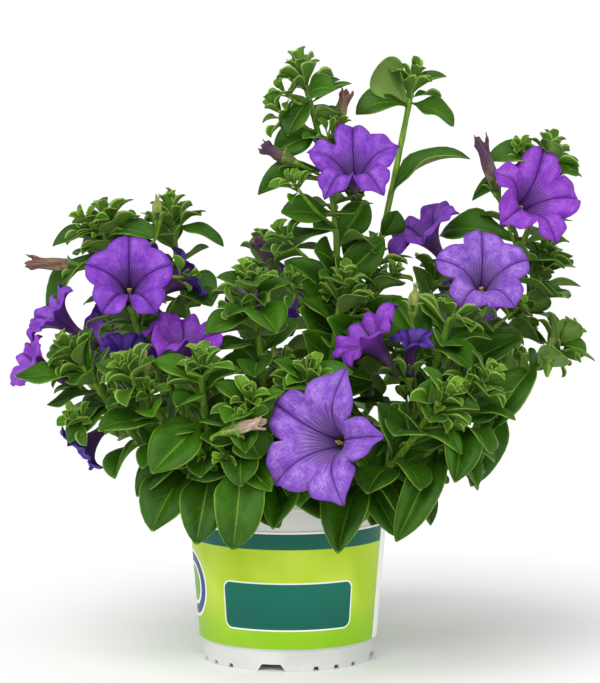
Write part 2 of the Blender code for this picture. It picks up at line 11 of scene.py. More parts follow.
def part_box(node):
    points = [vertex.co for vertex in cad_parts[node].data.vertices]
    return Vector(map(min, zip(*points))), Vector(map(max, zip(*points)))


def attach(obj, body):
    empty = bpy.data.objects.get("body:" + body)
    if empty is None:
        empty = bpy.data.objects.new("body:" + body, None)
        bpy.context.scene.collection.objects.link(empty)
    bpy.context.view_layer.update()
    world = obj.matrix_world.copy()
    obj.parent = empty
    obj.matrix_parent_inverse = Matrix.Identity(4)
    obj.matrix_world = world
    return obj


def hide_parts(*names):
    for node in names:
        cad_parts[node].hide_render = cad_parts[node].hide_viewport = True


bl_info = {
    "name": "Potted petunia",
    "version": (1, 0, 0),
    "blender": (4, 5, 0),
    "location": "View3D > Sidebar > Petunia",
    "description": "Builds a flowering petunia in its nursery pot",
    "category": "Object",
}

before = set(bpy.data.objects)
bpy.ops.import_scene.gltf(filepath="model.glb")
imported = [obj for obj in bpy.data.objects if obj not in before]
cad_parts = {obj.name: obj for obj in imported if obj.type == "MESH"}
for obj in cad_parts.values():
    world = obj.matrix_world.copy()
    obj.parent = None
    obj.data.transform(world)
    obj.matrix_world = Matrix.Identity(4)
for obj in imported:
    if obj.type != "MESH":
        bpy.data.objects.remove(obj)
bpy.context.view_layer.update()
MM = 0.001
GOLDEN_DEG = 137.5
MERGE = 0.000002
RNG = random.Random(7)
FINISHES = {}  # every material by its key, filled by mix_finishes

# Pot, in mm
POT_WALL = 1.2
WALL_LOW_Z = 12.5  # the wall steps in here, above the foot
WALL_TOP_DROP = 5.5  # from the top of the rim down to the end of the wall
WALL_TOP_Z = 94.5
FLOOR_Z = 5.2  # upper side of the raised floor
FOOT_RADIUS = 50.3
NOTCH_START_DEG = -101.0
# Gaps in each quarter of the foot: turn, width, height.
NOTCHES = [(0, 11.0, 4.0), (30, 2.6, 2.4), (45, 2.6, 2.4), (60, 2.6, 2.4)]
DRAIN_RADIUS = 4.0
DRAIN_RING_RADIUS = 37.0

# Print on the film: heights in mm from the ground, places round the pot in degrees from its front
PLAQUE_Z = 38.0
PLAQUE_HALF_WIDTH = 36.0
PLAQUE_HALF_HEIGHT = 9.0
PLAQUE_CORNER = 4.2
SEAL_Z = 45.0
SEAL_LEFT_DEG = 80.0
SEAL_RADII = (20.0, 18.4, 13.0, 11.0)  # white rim, seal colour, white gap, green heart
BAND_Z = 71.4
BAND_TOP_Z = 80.6
PRINT_END_DEG = (70.0, 112.0)  # bare film between these
PRINT_RADIUS = 56.0

# Plant, in mm
STEM_SPAN = 6.0
RIM_CLEAR_Z = 101.5  # leaves that cross the rim lie on it at this height
RIM_INNER_RADIUS = 50.0
RIM_MIDDLE_RADIUS = 57.0
RIM_OUTER_RADIUS = 66.0
OVER_POT_RADIUS = 67.0  # a leaf's tip within it stays above OVER_POT_Z
OVER_POT_Z = 104.0
LOWEST_TIP_Z = 86.0
HAIR_RADIUS = 0.055
SEPAL_WIDTH = 3.2
STALK_RADIUS = 0.95

# Each shoot: where its stem leaves the compost (x, y), then the points that it passes, the last being its tip,
# in mm; the length of its lowest and of its highest leaf, and the turn of the first.
SHOOTS = {
    "tall_middle": ([(4, 8), (25, 2, 190), (27, -4, 262), (9, 10, 340)], 34, 19, 200),
    "tall_right": ([(13, 17), (41, 14, 190), (57, 10, 256), (73, 20, 334)], 34, 26, 60),
    "high_far_right": ([(27, 4), (90, -6, 168), (135, 0, 239), (152, 10, 294)], 38, 24, 15),
    "high_left": ([(-22, -6), (-72, -27, 165), (-97, -22, 226), (-104, -20, 255)], 38, 24, 150),
    "high_back_left": ([(-16, 7), (-52, 8, 175), (-65, 14, 232), (-68, 15, 257)], 36, 22, 20),
    "middle_left": ([(-6, -10), (-13, -40, 160), (-21, -55, 222)], 38, 26, 100),
    "middle": ([(5, -12), (20, -28, 150), (31, -34, 219)], 38, 26, 300),
    "middle_back": ([(15, 2), (36, -4, 160), (49, 2, 234)], 38, 26, 30),
    "right": ([(17, -10), (68, -42, 140), (93, -55, 207)], 38, 25, 330),
    "far_right": ([(31, -7), (88, -32, 122), (136, -26, 166), (157, -20, 187)], 30, 24, 240),
    "back_right": ([(26, 15), (96, 14, 160), (140, 20, 203), (151, 22, 231)], 36, 22, 90),
    "far_left": ([(-30, -16), (-74, -45, 122), (-104, -58, 160), (-120, -60, 183)], 38, 24, 60),
    "front_left": ([(-21, -24), (-54, -66, 125), (-87, -95, 176)], 40, 26, 210),
    "front_upright": ([(-12, -28), (-40, -76, 122), (-48, -100, 179)], 42, 26, 10),
    "front_low": ([(-4, -22), (-24, -86, 124), (-22, -108, 160)], 42, 24, 150),
    "front_right": ([(12, -28), (52, -72, 117), (84, -101, 162)], 42, 27, 250),
    "right_front": ([(22, -20), (84, -66, 130), (108, -78, 168)], 40, 25, 130),
    "front_middle": ([(3, -30), (4, -70, 130), (11, -92, 172)], 40, 24, 80),
    "back_left": ([(-24, 18), (-70, 60, 150), (-96, 82, 208)], 40, 26, 40),
    "back_middle": ([(-4, 26), (-8, 68, 160), (-14, 92, 231)], 40, 24, 300),
    "back_far_right": ([(18, 28), (62, 68, 160), (92, 90, 218)], 40, 26, 170),
    "low_back_left": ([(-32, 6), (-92, 36, 130), (-130, 44, 168)], 40, 25, 290),
    "low_back_right": ([(33, 8), (92, 50, 126), (132, 60, 164)], 30, 25, 110),
    "low_back": ([(6, 34), (24, 96, 120), (34, 126, 158)], 42, 26, 220),
    "low_back_corner": ([(-14, 31), (-44, 90, 118), (-62, 118, 154)], 42, 26, 330),
}

# The part of a stem, from and to, that carries no leaves but those listed one by one.
BARE = {"tall_right": (0.40, 0.97)}
FIRST_LEAF = 0.06  # place of the lowest leaf along a stem

# Leaves listed one by one where they shape the outline, by shoot: place along its stem, tip, width, way the upper
# side faces, and for some which leaf master.
PLACED_LEAVES = {
    "tall_right": [
        (0.93, (40, 12, 318), 22, (0.1, -0.5, 0.8)),
        (0.93, (56, 4, 350), 24, (-0.5, 0.8, 0.1)),
        (0.94, (97, 16, 311), 21, (0.2, -0.5, 0.85), 5),
        (0.98, (93, 20, 340), 12, (0.0, -0.4, 0.9)),
        (0.72, (106, 6, 292), 20, (-0.1, -0.3, 0.95), 4),
        (0.62, (64, 8, 262), 17, (0.6, -0.7, 0.3)),
        (0.34, (26, 0, 238), 21, (-0.2, -0.8, 0.5)),
        (0.50, (34, 4, 252), 17, (-0.4, -0.7, 0.4)),
    ],
    "tall_middle": [
        (0.58, (46, 2, 268), 19, (0.3, -0.8, 0.4)),
        (0.46, (56, -4, 246), 20, (0.4, -0.7, 0.5)),
        (0.40, (-2, -20, 234), 22, (-0.2, -0.8, 0.5)),
        (0.92, (0, -8, 306), 20, (-0.5, -0.8, 0.3)),
        (0.84, (-8, -4, 296), 20, (-0.3, -0.9, 0.3)),
        (0.88, (30, -6, 322), 15, (0.4, -0.5, 0.7)),
        (0.93, (27, -10, 333), 17, (0.2, -0.85, 0.4)),
        (0.91, (37, 4, 336), 10, (0.0, -0.3, 0.95)),
        (0.80, (44, -2, 306), 16, (0.4, -0.6, 0.6)),
        (0.76, (-17, -12, 272), 19, (-0.3, -0.7, 0.7)),
        (0.65, (38, -28, 262), 22, (0.2, -0.8, 0.6)),
        (0.62, (-16, -14, 240), 22, (-0.3, -0.5, 0.8)),
        (0.66, (-4, -18, 262), 20, (-0.2, -0.8, 0.5)),
        (0.52, (15, -20, 240), 24, (0.0, -0.8, 0.5)),
    ],
    "high_far_right": [
        (0.69, (90, 24, 246), 24, (-0.2, -0.5, 0.8)),
        (0.90, (108, 4, 268), 13, (-0.2, -0.6, 0.7)),
        (0.32, (136, -20, 190), 22, (0.1, -0.8, 0.5)),
        (0.93, (116, 2, 291), 21, (-0.2, -0.5, 0.8), 4),
        (0.94, (170, 8, 283), 19, (0.2, -0.6, 0.8)),
    ],
    "high_back_left": [
        (0.50, (-44, -22, 208), 22, (0.2, -0.7, 0.6)),
        (0.90, (-38, 6, 241), 16, (0.2, -0.4, 0.9)),
        (0.58, (-42, 2, 214), 24, (0.1, -0.8, 0.5)),
    ],
    "high_left": [
        (0.94, (-135, -26, 243), 17, (-0.1, -0.4, 0.9)),
        (0.95, (-76, -36, 248), 20, (0.1, -0.5, 0.8)),
        (0.80, (-138, -22, 204), 18, (-0.5, -0.5, 0.6)),
        (0.50, (-72, -20, 204), 22, (0.0, -0.8, 0.5)),
    ],
    "far_left": [
        (0.80, (-153, -76, 173), 17, (-0.1, -0.5, 0.8)),
        (0.62, (-122, -78, 136), 20, (-0.4, -0.6, 0.6)),
    ],
    "front_left": [
        (0.72, (-104, -106, 146), 22, (-0.3, -0.6, 0.7)),
        (0.46, (-75, -92, 88), 31, (-0.3, -0.7, 0.6), 1),
    ],
    "front_upright": [
        (0.74, (-74, -116, 124), 28, (-0.1, -0.8, 0.5)),
        (0.55, (-50, -112, 84), 27, (0.0, -0.9, 0.4)),
    ],
    "front_low": [
        (0.62, (-30, -116, 82), 27, (0.1, -0.9, 0.3)),
        (0.78, (-15, -114, 132), 24, (0.1, -0.8, 0.5)),
    ],
    "front_middle": [
        (0.30, (-8, -98, 90), 21, (-0.2, -0.9, 0.3)),
    ],
    "front_right": [
        (0.36, (28, -108, 78), 27, (-0.2, -0.9, 0.3)),
        (0.56, (44, -112, 112), 25, (-0.2, -0.8, 0.5)),
        (0.74, (58, -128, 146), 24, (-0.1, -0.8, 0.6)),
        (0.40, (61, -100, 86), 20, (0.1, -0.9, 0.3)),
    ],
    "right_front": [
        (0.50, (60, -107, 85), 20, (0.1, -0.9, 0.3)),
        (0.70, (92, -110, 118), 22, (0.2, -0.8, 0.5)),
    ],
    "far_right": [
        (0.58, (104, -56, 108), 20, (0.3, -0.8, 0.4)),
        (0.78, (116, -52, 140), 24, (-0.3, -0.8, 0.5)),
        (0.97, (172, -26, 182), 12, (0.2, -0.5, 0.8)),
    ],
    "middle_left": [
        (0.86, (-6, -82, 198), 24, (0.2, -0.8, 0.5)),
        (0.84, (-46, -66, 196), 20, (-0.3, -0.6, 0.7)),
        (0.60, (-28, -40, 188), 22, (-0.2, -0.8, 0.5)),
    ],
    "middle": [
        (0.79, (70, -62, 194), 22, (0.3, -0.6, 0.7)),
    ],
    "right": [
        (0.80, (102, -84, 178), 20, (0.2, -0.7, 0.6)),
        (0.72, (60, -20, 212), 22, (0.1, -0.8, 0.5)),
    ],
    "middle_back": [
        (0.62, (6, -40, 208), 24, (0.0, -0.8, 0.6)),
        (0.58, (22, -44, 203), 24, (0.2, -0.8, 0.5)),
        (0.66, (66, -24, 214), 22, (0.2, -0.8, 0.5)),
        (0.50, (8, -50, 196), 22, (0.0, -0.8, 0.5)),
    ],
}

# Tufts of young leaves listed one by one, by shoot: place along its stem, middle, length of the outer leaves.
PLACED_TUFTS = {
    "tall_middle": [
        (0.84, (-6, 2, 321), 18),
        (0.90, (-3, 0, 332), 13),
        (0.62, (3, -36, 280), 16),
        (0.48, (-4, -22, 250), 15),
        (0.30, (2, -26, 222), 15),
    ],
    "high_left": [
        (0.90, (-116, -30, 258), 15),
        (0.70, (-58, -36, 226), 15),
    ],
    "high_far_right": [
        (0.93, (136, -2, 298), 14),
        (0.40, (132, -18, 206), 15),
    ],
    "middle_back": [
        (0.80, (62, -8, 226), 14),
        (0.70, (24, -20, 214), 15),
    ],
    "far_left": [
        (0.60, (-118, -78, 150), 15),
    ],
    "right": [
        (0.60, (70, -52, 184), 14),
    ],
}

# Open flowers: shoot, place along its stem, middle of the mouth, way it faces, mouth diameter, length, then
# the turn of its first lobe, which petal finish and which shape of flower it has.
FLOWERS = {
    "top": ("tall_middle", 0.62, (37, -30, 295), (-0.08, -0.64, 0.76), 51, 35, 95, "violet", "star"),
    "right_top": ("high_far_right", 0.78, (144, -16, 273), (0.42, -0.78, 0.46), 54, 37, -5, "bright", "folded"),
    "right": ("high_far_right", 0.48, (112, -48, 231), (0.05, -0.80, 0.60), 52, 37, 90, "lilac", "round"),
    "left": ("high_left", 0.62, (-89, -68, 229), (0.04, -0.88, 0.47), 49, 36, 90, "violet", "round"),
    "front": ("front_middle", 0.50, (17, -130, 145), (-0.50, -0.84, 0.20), 67, 42, 6, "lilac", "star"),
    "right_side": ("high_far_right", 0.62, (77, 8, 254), (-0.54, -0.28, 0.79), 47, 34, 40, "violet", "star"),
    "middle_side": ("right", 0.52, (42, -72, 198), (-0.62, -0.30, 0.72), 45, 34, 10, "bright", "folded"),
    "half_open": ("right", 0.66, (70, -76, 196), (0.05, -0.38, 0.92), 25, 25, 30, "dark", "star"),
    "left_behind": ("high_back_left", 0.62, (-55, -12, 227), (0.82, 0.10, 0.50), 38, 34, 0, "dark", "round"),
    "left_side": ("far_left", 0.66, (-137, -42, 208), (-0.74, -0.24, 0.62), 38, 36, 60, "violet", "round"),
    "far_left": ("far_left", 0.52, (-149, -52, 180), (-0.82, -0.32, 0.46), 34, 34, 20, "bright", "round"),
    "left_low": ("high_left", 0.42, (-91, -50, 188), (0.15, -0.42, 0.89), 33, 30, 50, "dark", "round"),
    "left_ruffled": ("front_left", 0.34, (-58, -60, 197), (0.00, -0.32, 0.94), 50, 36, 25, "bright", "folded"),
    "left_under": ("far_left", 0.34, (-121, -24, 124), (-0.72, -0.20, -0.66), 34, 32, 10, "dark", "star"),
    "left_back": ("high_left", 0.66, (-98, 26, 242), (0.08, 0.76, 0.64), 46, 34, 0, "violet", "round"),
    "back_top": ("back_middle", 0.66, (-14, 132, 200), (-0.10, 0.95, 0.30), 55, 37, 90, "violet", "round"),
    "back_right": ("back_far_right", 0.48, (113, 113, 194), (0.55, 0.75, 0.36), 56, 37, 70, "lilac", "star"),
    "back_low": ("low_back", 0.34, (-4, 146, 138), (-0.32, 0.91, 0.25), 58, 38, 20, "bright", "round"),
    "back_left": ("back_left", 0.46, (-108, 105, 178), (-0.50, 0.80, 0.34), 54, 37, 50, "violet", "folded"),
}

# Closed and faded flowers: shoot, place along its stem, calyx end, free end, diameter, finish.
CLOSED_FLOWERS = {
    "faded_left": ("high_left", 0.78, (-121, -30, 232), (-148, -32, 235), 8.0, "faded"),
    "faded_middle": ("tall_middle", 0.74, (3, -12, 291), (-15, -14, 299), 7.5, "wilted"),
    "faded_right": ("high_far_right", 0.66, (121, -6, 274), (111, -7, 304), 8.5, "wilted"),
    "faded_behind": ("tall_middle", 0.40, (-8, 2, 228), (-17, 0, 246), 8.0, "wilted"),
    "bud_top": ("tall_middle", 0.84, (28, 5, 311), (35, 6, 331), 7.5, "faded"),
    "dried_front": ("front_low", 0.56, (-32, -120, 148), (-14, -126, 154), 7.0, "dried"),
}

# Small striped buds: shoot, place along its stem, calyx end, free end, diameter.
BUDS = [
    ("front_left", 0.70, (-79, -92, 174), (-79, -94, 189), 7.0),
    ("high_left", 0.80, (-76, -4, 257), (-76, -5, 271), 6.0),
    ("right", 0.80, (71, -52, 208), (72, -53, 223), 7.0),
    ("far_right", 0.80, (150, -32, 176), (151, -33, 190), 6.5),
]

# How a leaf is turned about its foot, in degrees sideways and up, until it is clear of its neighbours.
SWINGS = [(0, 0), (0, 14), (16, 0), (-16, 0), (0, -14), (24, 14), (-24, 14), (34, 0), (-34, 0),
          (45, 18), (-45, 18)]


def length_property(name, description, default_mm):
    return bpy.props.FloatProperty(
        name=name, description=description, default=default_mm * MM, min=0.0, unit="LENGTH", precision=4)


def colour_property(name, description, red, green, blue):
    return bpy.props.FloatVectorProperty(
        name=name, description=description, default=rgb(red, green, blue)[:3], subtype="COLOR",
        min=0.0, max=1.0)


def rgb(red, green, blue):
    """A display colour from 0 to 255, as the linear colour that shaders take."""
    linear = [c / 255 / 12.92 if c <= 10 else ((c / 255 + 0.055) / 1.055) ** 2.4 for c in (red, green, blue)]
    return (*linear, 1.0)


# --- modelling helpers -----------------------------------------------------------------------------


def deselect():
    bpy.ops.object.select_all(action="DESELECT")


def activate(obj):
    deselect()
    obj.select_set(True)
    bpy.context.view_layer.objects.active = obj


def edit_mode():
    bpy.ops.object.mode_set(mode="EDIT")


def object_mode():
    bpy.ops.object.mode_set(mode="OBJECT")


def pick(obj, wanted):
    """Enters edit mode with the vertices selected for which wanted(vertex) holds."""
    object_mode()
    for v in obj.data.vertices:
        v.select = wanted(v)
    for e in obj.data.edges:
        e.select = all(obj.data.vertices[i].select for i in e.vertices)
    for f in obj.data.polygons:
        f.select = all(obj.data.vertices[i].select for i in f.vertices)
    edit_mode()


def draw_line(name, points):
    """A chain of edges, drawn by extruding one vertex from point to point."""
    deselect()
    bpy.ops.mesh.primitive_plane_add(size=MM)
    obj = bpy.context.object
    obj.name = name
    edit_mode()
    bpy.ops.mesh.merge(type="CENTER")
    bpy.ops.transform.translate(value=points[0])
    for a, b in zip(points, points[1:]):
        bpy.ops.mesh.extrude_region_move(TRANSFORM_OT_translate={"value": Vector(b) - Vector(a)})
    object_mode()
    return obj


def close_seams():
    """In edit mode, merges what a spin or a curve leaves open, turns the faces outwards, then leaves it."""
    bpy.ops.mesh.select_all(action="SELECT")
    bpy.ops.mesh.remove_doubles(threshold=MERGE)
    bpy.ops.mesh.normals_make_consistent(inside=False)
    object_mode()


def turn(name, profile, steps, angle=2 * math.pi, start=0.0):
    """A profile of (radius, height) points in mm, spun about Z."""
    points = [(r * MM * math.cos(start), r * MM * math.sin(start), z * MM) for r, z in profile]
    obj = draw_line(name, points)
    edit_mode()
    bpy.ops.mesh.select_all(action="SELECT")
    bpy.ops.mesh.spin(steps=steps, angle=angle, center=(0, 0, 0), axis=(0, 0, 1))
    close_seams()
    return obj


def apply_all(obj):
    activate(obj)
    for modifier in list(obj.modifiers):
        bpy.ops.object.modifier_apply(modifier=modifier.name)


def smooth(obj, angle_deg=None):
    activate(obj)
    if angle_deg is None:
        bpy.ops.object.shade_smooth()
    else:
        bpy.ops.object.shade_smooth_by_angle(angle=math.radians(angle_deg))


def finish(obj, material, angle_deg=None):
    """Gives an object its only material, and smooths it."""
    obj.data.materials.append(material)
    smooth(obj, angle_deg)


def thicken(obj, thickness, offset=-1.0, other_side=None):
    """Gives a sheet a wall. The field other_side is 0 on the sheet's own points and 1 on the new ones."""
    count = len(obj.data.vertices)
    wall = obj.modifiers.new("Thickness", "SOLIDIFY")
    wall.thickness = thickness
    wall.offset = offset
    apply_all(obj)
    if other_side:
        set_fields(obj, **{other_side: [float(i >= count) for i in range(len(obj.data.vertices))]})


def set_fields(obj, **fields):
    """Stores numbers for each point of a mesh, for its shader to read."""
    attributes = obj.data.attributes
    for name, values in fields.items():
        field = attributes.get(name) or attributes.new(name, "FLOAT", "POINT")
        field.data.foreach_set("value", values)


def new_object(name, data):
    obj = bpy.data.objects.new(name, data)
    bpy.context.scene.collection.objects.link(obj)
    return obj


def tube(name, points, radii, material, sides=10):
    """A closed, tapering tube along points in mm, made from a curve."""
    curve = bpy.data.curves.new(name, "CURVE")
    curve.dimensions = "3D"
    curve.bevel_depth = MM
    curve.bevel_resolution = (sides - 4) // 2
    curve.use_fill_caps = True
    spline = curve.splines.new("POLY")
    spline.points.add(len(points) - 1)
    for knot, point, radius in zip(spline.points, points, radii):
        knot.co = (*(Vector(point) * MM), 1.0)
        knot.radius = radius
    curve.materials.append(material)
    obj = new_object(name, curve)
    activate(obj)
    bpy.ops.object.convert(target="MESH")
    edit_mode()
    close_seams()
    smooth(obj)
    return obj


def copy_of(master, matrix, tint):
    """A copy of a master with its own mesh, placed by a matrix in metres."""
    obj = new_object(master.name + "_copy", master.data.copy())
    obj.data.transform(matrix)
    set_fields(obj, tint=[tint] * len(obj.data.vertices))
    return obj


def join(name, objects):
    """Joins objects to one piece that sits at the origin."""
    deselect()
    for obj in objects:
        obj.select_set(True)
    bpy.context.view_layer.objects.active = objects[0]
    bpy.ops.object.join()
    piece = bpy.context.object
    piece.name = piece.data.name = name
    return piece


def put_away(*masters):
    for obj in masters:
        bpy.data.objects.remove(obj)


def basis(origin, x_axis, y_axis, z_axis):
    """The matrix that puts a master's axes on the given ones. The origin is in mm."""
    columns = [(*x_axis, 0), (*y_axis, 0), (*z_axis, 0), (*(origin * MM), 1)]
    return Matrix(columns).transposed()


# --- shader helpers --------------------------------------------------------------------------------


class Field:
    """A shader socket that sums, scales and compares as a number does."""

    def __init__(self, paint, socket):
        self.paint = paint
        self.socket = socket

    def math(self, operation, *others):
        values = dict(enumerate((self, *others)))
        return self.paint.node("ShaderNodeMath", {"operation": operation}, values)

    def __add__(self, other):
        return self.math("ADD", other)

    def __sub__(self, other):
        return self.math("SUBTRACT", other)

    def __rsub__(self, other):
        return self.math("MULTIPLY", -1.0).math("ADD", other)

    def __mul__(self, other):
        return self.math("MULTIPLY", other)

    def __truediv__(self, other):
        return self.math("DIVIDE", other)

    def __pow__(self, other):
        return self.math("POWER", other)

    def __abs__(self):
        return self.math("ABSOLUTE")

    __radd__ = __add__
    __rmul__ = __mul__


class Paint:
    """The nodes of a material, or of a given world, which are all added by one method."""

    def __init__(self, name, world=None):
        self.owner = world or bpy.data.materials.new(name)
        self.owner.use_nodes = True
        self.tree = self.owner.node_tree
        self.tree.nodes.clear()
        self.output = self.tree.nodes.new("ShaderNodeOutputWorld" if world else "ShaderNodeOutputMaterial")

    def node(self, kind, settings=None, inputs=None, output=0):
        made = self.tree.nodes.new(kind)
        for key, value in (settings or {}).items():
            if key == "stops":
                self.set_stops(made.color_ramp, value)
            else:
                setattr(made, key, value)
        for key, value in (inputs or {}).items():
            if isinstance(value, Field):
                self.tree.links.new(value.socket, made.inputs[key])
            else:
                made.inputs[key].default_value = value
        return Field(self, made.outputs[output])

    @staticmethod
    def set_stops(ramp, stops):
        for place, colour in stops[2:]:
            ramp.elements.new(place)
        for element, (place, colour) in zip(ramp.elements, stops):
            element.position = place
            element.color = colour

    def mix(self, a, b, factor):
        inputs = {0: factor, 6: a, 7: b}
        return self.node("ShaderNodeMix", {"data_type": "RGBA"}, inputs, 2)

    def step(self, value, low, high):
        """Rises smoothly from 0 at low to 1 at high."""
        inputs = {"Value": value, "From Min": low, "From Max": high}
        return self.node("ShaderNodeMapRange", {"interpolation_type": "SMOOTHSTEP"}, inputs)

    def field(self, name):
        return self.node("ShaderNodeAttribute", {"attribute_name": name}, None, "Fac")

    def place(self):
        return self.node("ShaderNodeTexCoord", None, None, "Object")

    def noise(self, scale, detail=3.0, roughness=0.55, where=None):
        inputs = {"Vector": where or self.place(), "Scale": scale, "Detail": detail, "Roughness": roughness}
        return self.node("ShaderNodeTexNoise", None, inputs)

    def vector(self, x, y, z=0.0):
        return self.node("ShaderNodeCombineXYZ", None, {"X": x, "Y": y, "Z": z})

    def part(self, vector, axis):
        return self.node("ShaderNodeSeparateXYZ", None, {0: vector}, axis)

    def bump(self, height, distance, strength):
        """Distance in metres."""
        inputs = {"Height": height, "Distance": distance, "Strength": strength}
        return self.node("ShaderNodeBump", None, inputs)

    def end(self, shader):
        self.tree.links.new(shader.socket, self.output.inputs["Surface"])
        return self.owner

    def surface(self, glow=None, glow_share=0.0, **inputs):
        """Ends the material in a Principled shader, with light let through where glow gives a colour."""
        named = {key.replace("_", " ").title(): value for key, value in inputs.items()}
        named = {key.replace("Ior", "IOR"): value for key, value in named.items()}
        shader = self.node("ShaderNodeBsdfPrincipled", None, named)
        if glow:
            through = self.node("ShaderNodeBsdfTranslucent", None, {"Color": glow})
            shader = self.node("ShaderNodeMixShader", None, {0: glow_share, 1: shader, 2: through})
        return self.end(shader)


# --- finishes --------------------------------------------------------------------------------------


def make_leaf_finish(name, dark, light, young, underside, vein_and_rim_highlight_colour, rim_highlight_share):
    p = Paint(name)
    along, across, tint = p.field("along"), abs(p.field("across")), p.field("tint")
    under = p.field("under")
    cloud = p.noise(55.0, 3.0)
    fine = p.noise(700.0, 3.0)
    body = p.mix(dark, light, p.step(cloud * 0.8 + tint * 0.7, 0.30, 0.95))
    body = p.mix(body, young, p.step(tint, 0.45, 1.0))
    phase = (along * 7.0 - across * 2.2).math("FRACT")
    side_vein = p.step(abs(phase - 0.5), 0.40, 0.5) * (1.0 - across) * 0.45
    rib = (1.0 - p.step(across, 0.012, 0.05)) * (1.0 - p.step(along, 0.5, 1.0) * 0.5)
    body = p.mix(body, vein_and_rim_highlight_colour, side_vein * 0.35)
    body = p.mix(body, vein_and_rim_highlight_colour, rib * 0.7)
    body = p.mix(body, underside, under * (0.6 + fine * 0.4))
    # Painted highlight: the pale margin and tip stand for the fine edge hairs, painted light as a rim highlight,
    # as if backlight caught them
    rim = p.step(across, rim_highlight_share, rim_highlight_share + 0.08).math("MAXIMUM", p.step(along, 0.97, 1.0))
    body = p.mix(body, vein_and_rim_highlight_colour, rim * 0.9)
    body = p.mix(body, vein_and_rim_highlight_colour, p.step(fine, 0.54, 0.72) * 0.08)
    height = side_vein * -0.8 + rib * 0.3 + fine * 0.35 + cloud * 0.2
    return p.surface(
        glow=rgb(90, 160, 10), glow_share=0.07, base_color=body, roughness=0.40 + fine * 0.16,
        normal=p.bump(height, 0.0007, 0.7), sheen_weight=0.04, sheen_roughness=0.3,
        sheen_tint=rgb(225, 240, 190), ior=1.40, specular_ior_level=0.32)


def make_stem_finish():
    p = Paint("stem_skin")
    streak = p.noise(45.0, 4.0, where=p.node("ShaderNodeMapping", None, {
        "Vector": p.place(), "Scale": (14.0, 14.0, 1.0)}))
    cloud = p.noise(60.0, 3.0)
    body = p.mix(rgb(78, 124, 6), rgb(134, 170, 30), p.step(streak, 0.35, 0.7))
    body = p.mix(body, rgb(66, 104, 10), p.step(cloud, 0.55, 0.75) * 0.5)
    return p.surface(
        glow=rgb(190, 220, 90), glow_share=0.08, base_color=body, roughness=0.5,
        normal=p.bump(streak, 0.0004, 0.5), sheen_weight=0.15, sheen_roughness=0.3,
        sheen_tint=rgb(240, 248, 220))


def make_hair_finish():
    p = Paint("plant_hair")
    cloud = p.noise(300.0, 1.0)
    return p.surface(glow=rgb(240, 248, 220), glow_share=0.3, base_color=p.mix(
        rgb(214, 228, 180), rgb(240, 246, 224), cloud), roughness=0.6)


def make_petal_finish(name, main, pale, deep, throat_tint, vein, glow):
    """Petal skin: dark mid veins, lines that run down the throat, and a mottled, velvety limb."""
    p = Paint(name)
    lobe, reach, off_vein = p.field("lobe"), p.field("reach"), p.field("off_vein")
    outer = p.field("outer")
    cloud = p.noise(160.0, 5.0, 0.6)
    speck = p.noise(1500.0, 3.0, 0.6)
    ray = p.noise(1.0, 4.0, 0.6, where=p.vector(off_vein * 0.9, reach * 5.0, lobe * 2.0))
    skin = p.mix(main, pale, p.step(cloud * 0.5 + speck * 0.45 + ray * 0.2, 0.48, 0.72))
    skin = p.mix(skin, deep, p.step(ray * 0.7 + speck * 0.3, 0.52, 0.36) * 0.35)
    skin = p.mix(skin, main, p.step(reach, 0.86, 0.98) * 0.8)
    throat = 1.0 - p.step(reach, 0.22, 0.52)
    skin = p.mix(skin, throat_tint, throat * 0.85)
    lines = p.step(abs((lobe * 3.5).math("FRACT") - 0.5), 0.24, 0.42)
    skin = p.mix(skin, vein, lines * (1.0 - p.step(reach, 0.24, 0.66 - lobe * 0.2)) * 0.9)
    halo = (1.0 - p.step(off_vein, 0.2, 2.4)) * (0.6 - reach * 0.35)
    skin = p.mix(skin, deep, halo)
    mid = 1.0 - p.step(off_vein, 0.10, 0.50)
    skin = p.mix(skin, vein, mid * (1.0 - reach * 0.35))
    skin = p.mix(skin, rgb(96, 92, 40), (1.0 - p.step(reach, 0.10, 0.15)) * 0.8)
    tube = p.mix(rgb(128, 118, 70), rgb(92, 44, 92), p.step(reach, 0.09, 0.17))
    back = p.mix(skin, p.mix(tube, vein, lines * 0.5), 1.0 - p.step(reach, 0.22, 0.62))
    skin = p.mix(skin, p.mix(back, deep, 0.35), outer)
    height = cloud * 0.5 + ray * 0.5 - mid * 0.9
    return p.surface(
        glow=glow, glow_share=0.16, base_color=skin, roughness=0.50 + speck * 0.16,
        normal=p.bump(height, 0.0009, 0.7), sheen_weight=0.12, sheen_roughness=0.4,
        sheen_tint=pale)


def make_withered_finish(name, dark, light, streak_colour):
    p = Paint(name)
    reach, lobe = p.field("reach"), p.field("lobe")
    cloud = p.noise(160.0, 4.0)
    streak = p.noise(9.0, 3.0, where=p.vector(lobe * 1.1, reach * 0.35, cloud * 0.2))
    skin = p.mix(dark, light, p.step(streak, 0.38, 0.66))
    skin = p.mix(skin, streak_colour, (1.0 - p.step(reach, 0.15, 0.8)) * p.step(cloud, 0.42, 0.6))
    return p.surface(
        glow=light, glow_share=0.08, base_color=skin, roughness=0.7,
        normal=p.bump(streak + cloud * 0.5, 0.0009, 0.8), sheen_weight=0.2, sheen_roughness=0.5)


def make_pot_finish(white):
    p = Paint("pot_plastic")
    cloud = p.noise(16.0, 3.0)
    fine = p.noise(700.0, 2.0)
    dust = p.step(p.noise(90.0, 5.0, 0.7), 0.60, 0.78)
    skin = p.mix((*white, 1.0), rgb(200, 201, 198), p.step(cloud, 0.4, 0.7))
    skin = p.mix(skin, rgb(200, 194, 182), dust * 0.10)
    return p.surface(
        base_color=skin, roughness=0.30 + cloud * 0.12 + dust * 0.15,
        normal=p.bump(fine * 0.4 + cloud, 0.00015, 0.5), ior=1.49, coat_roughness=0.2,
        coat_weight=0.15)


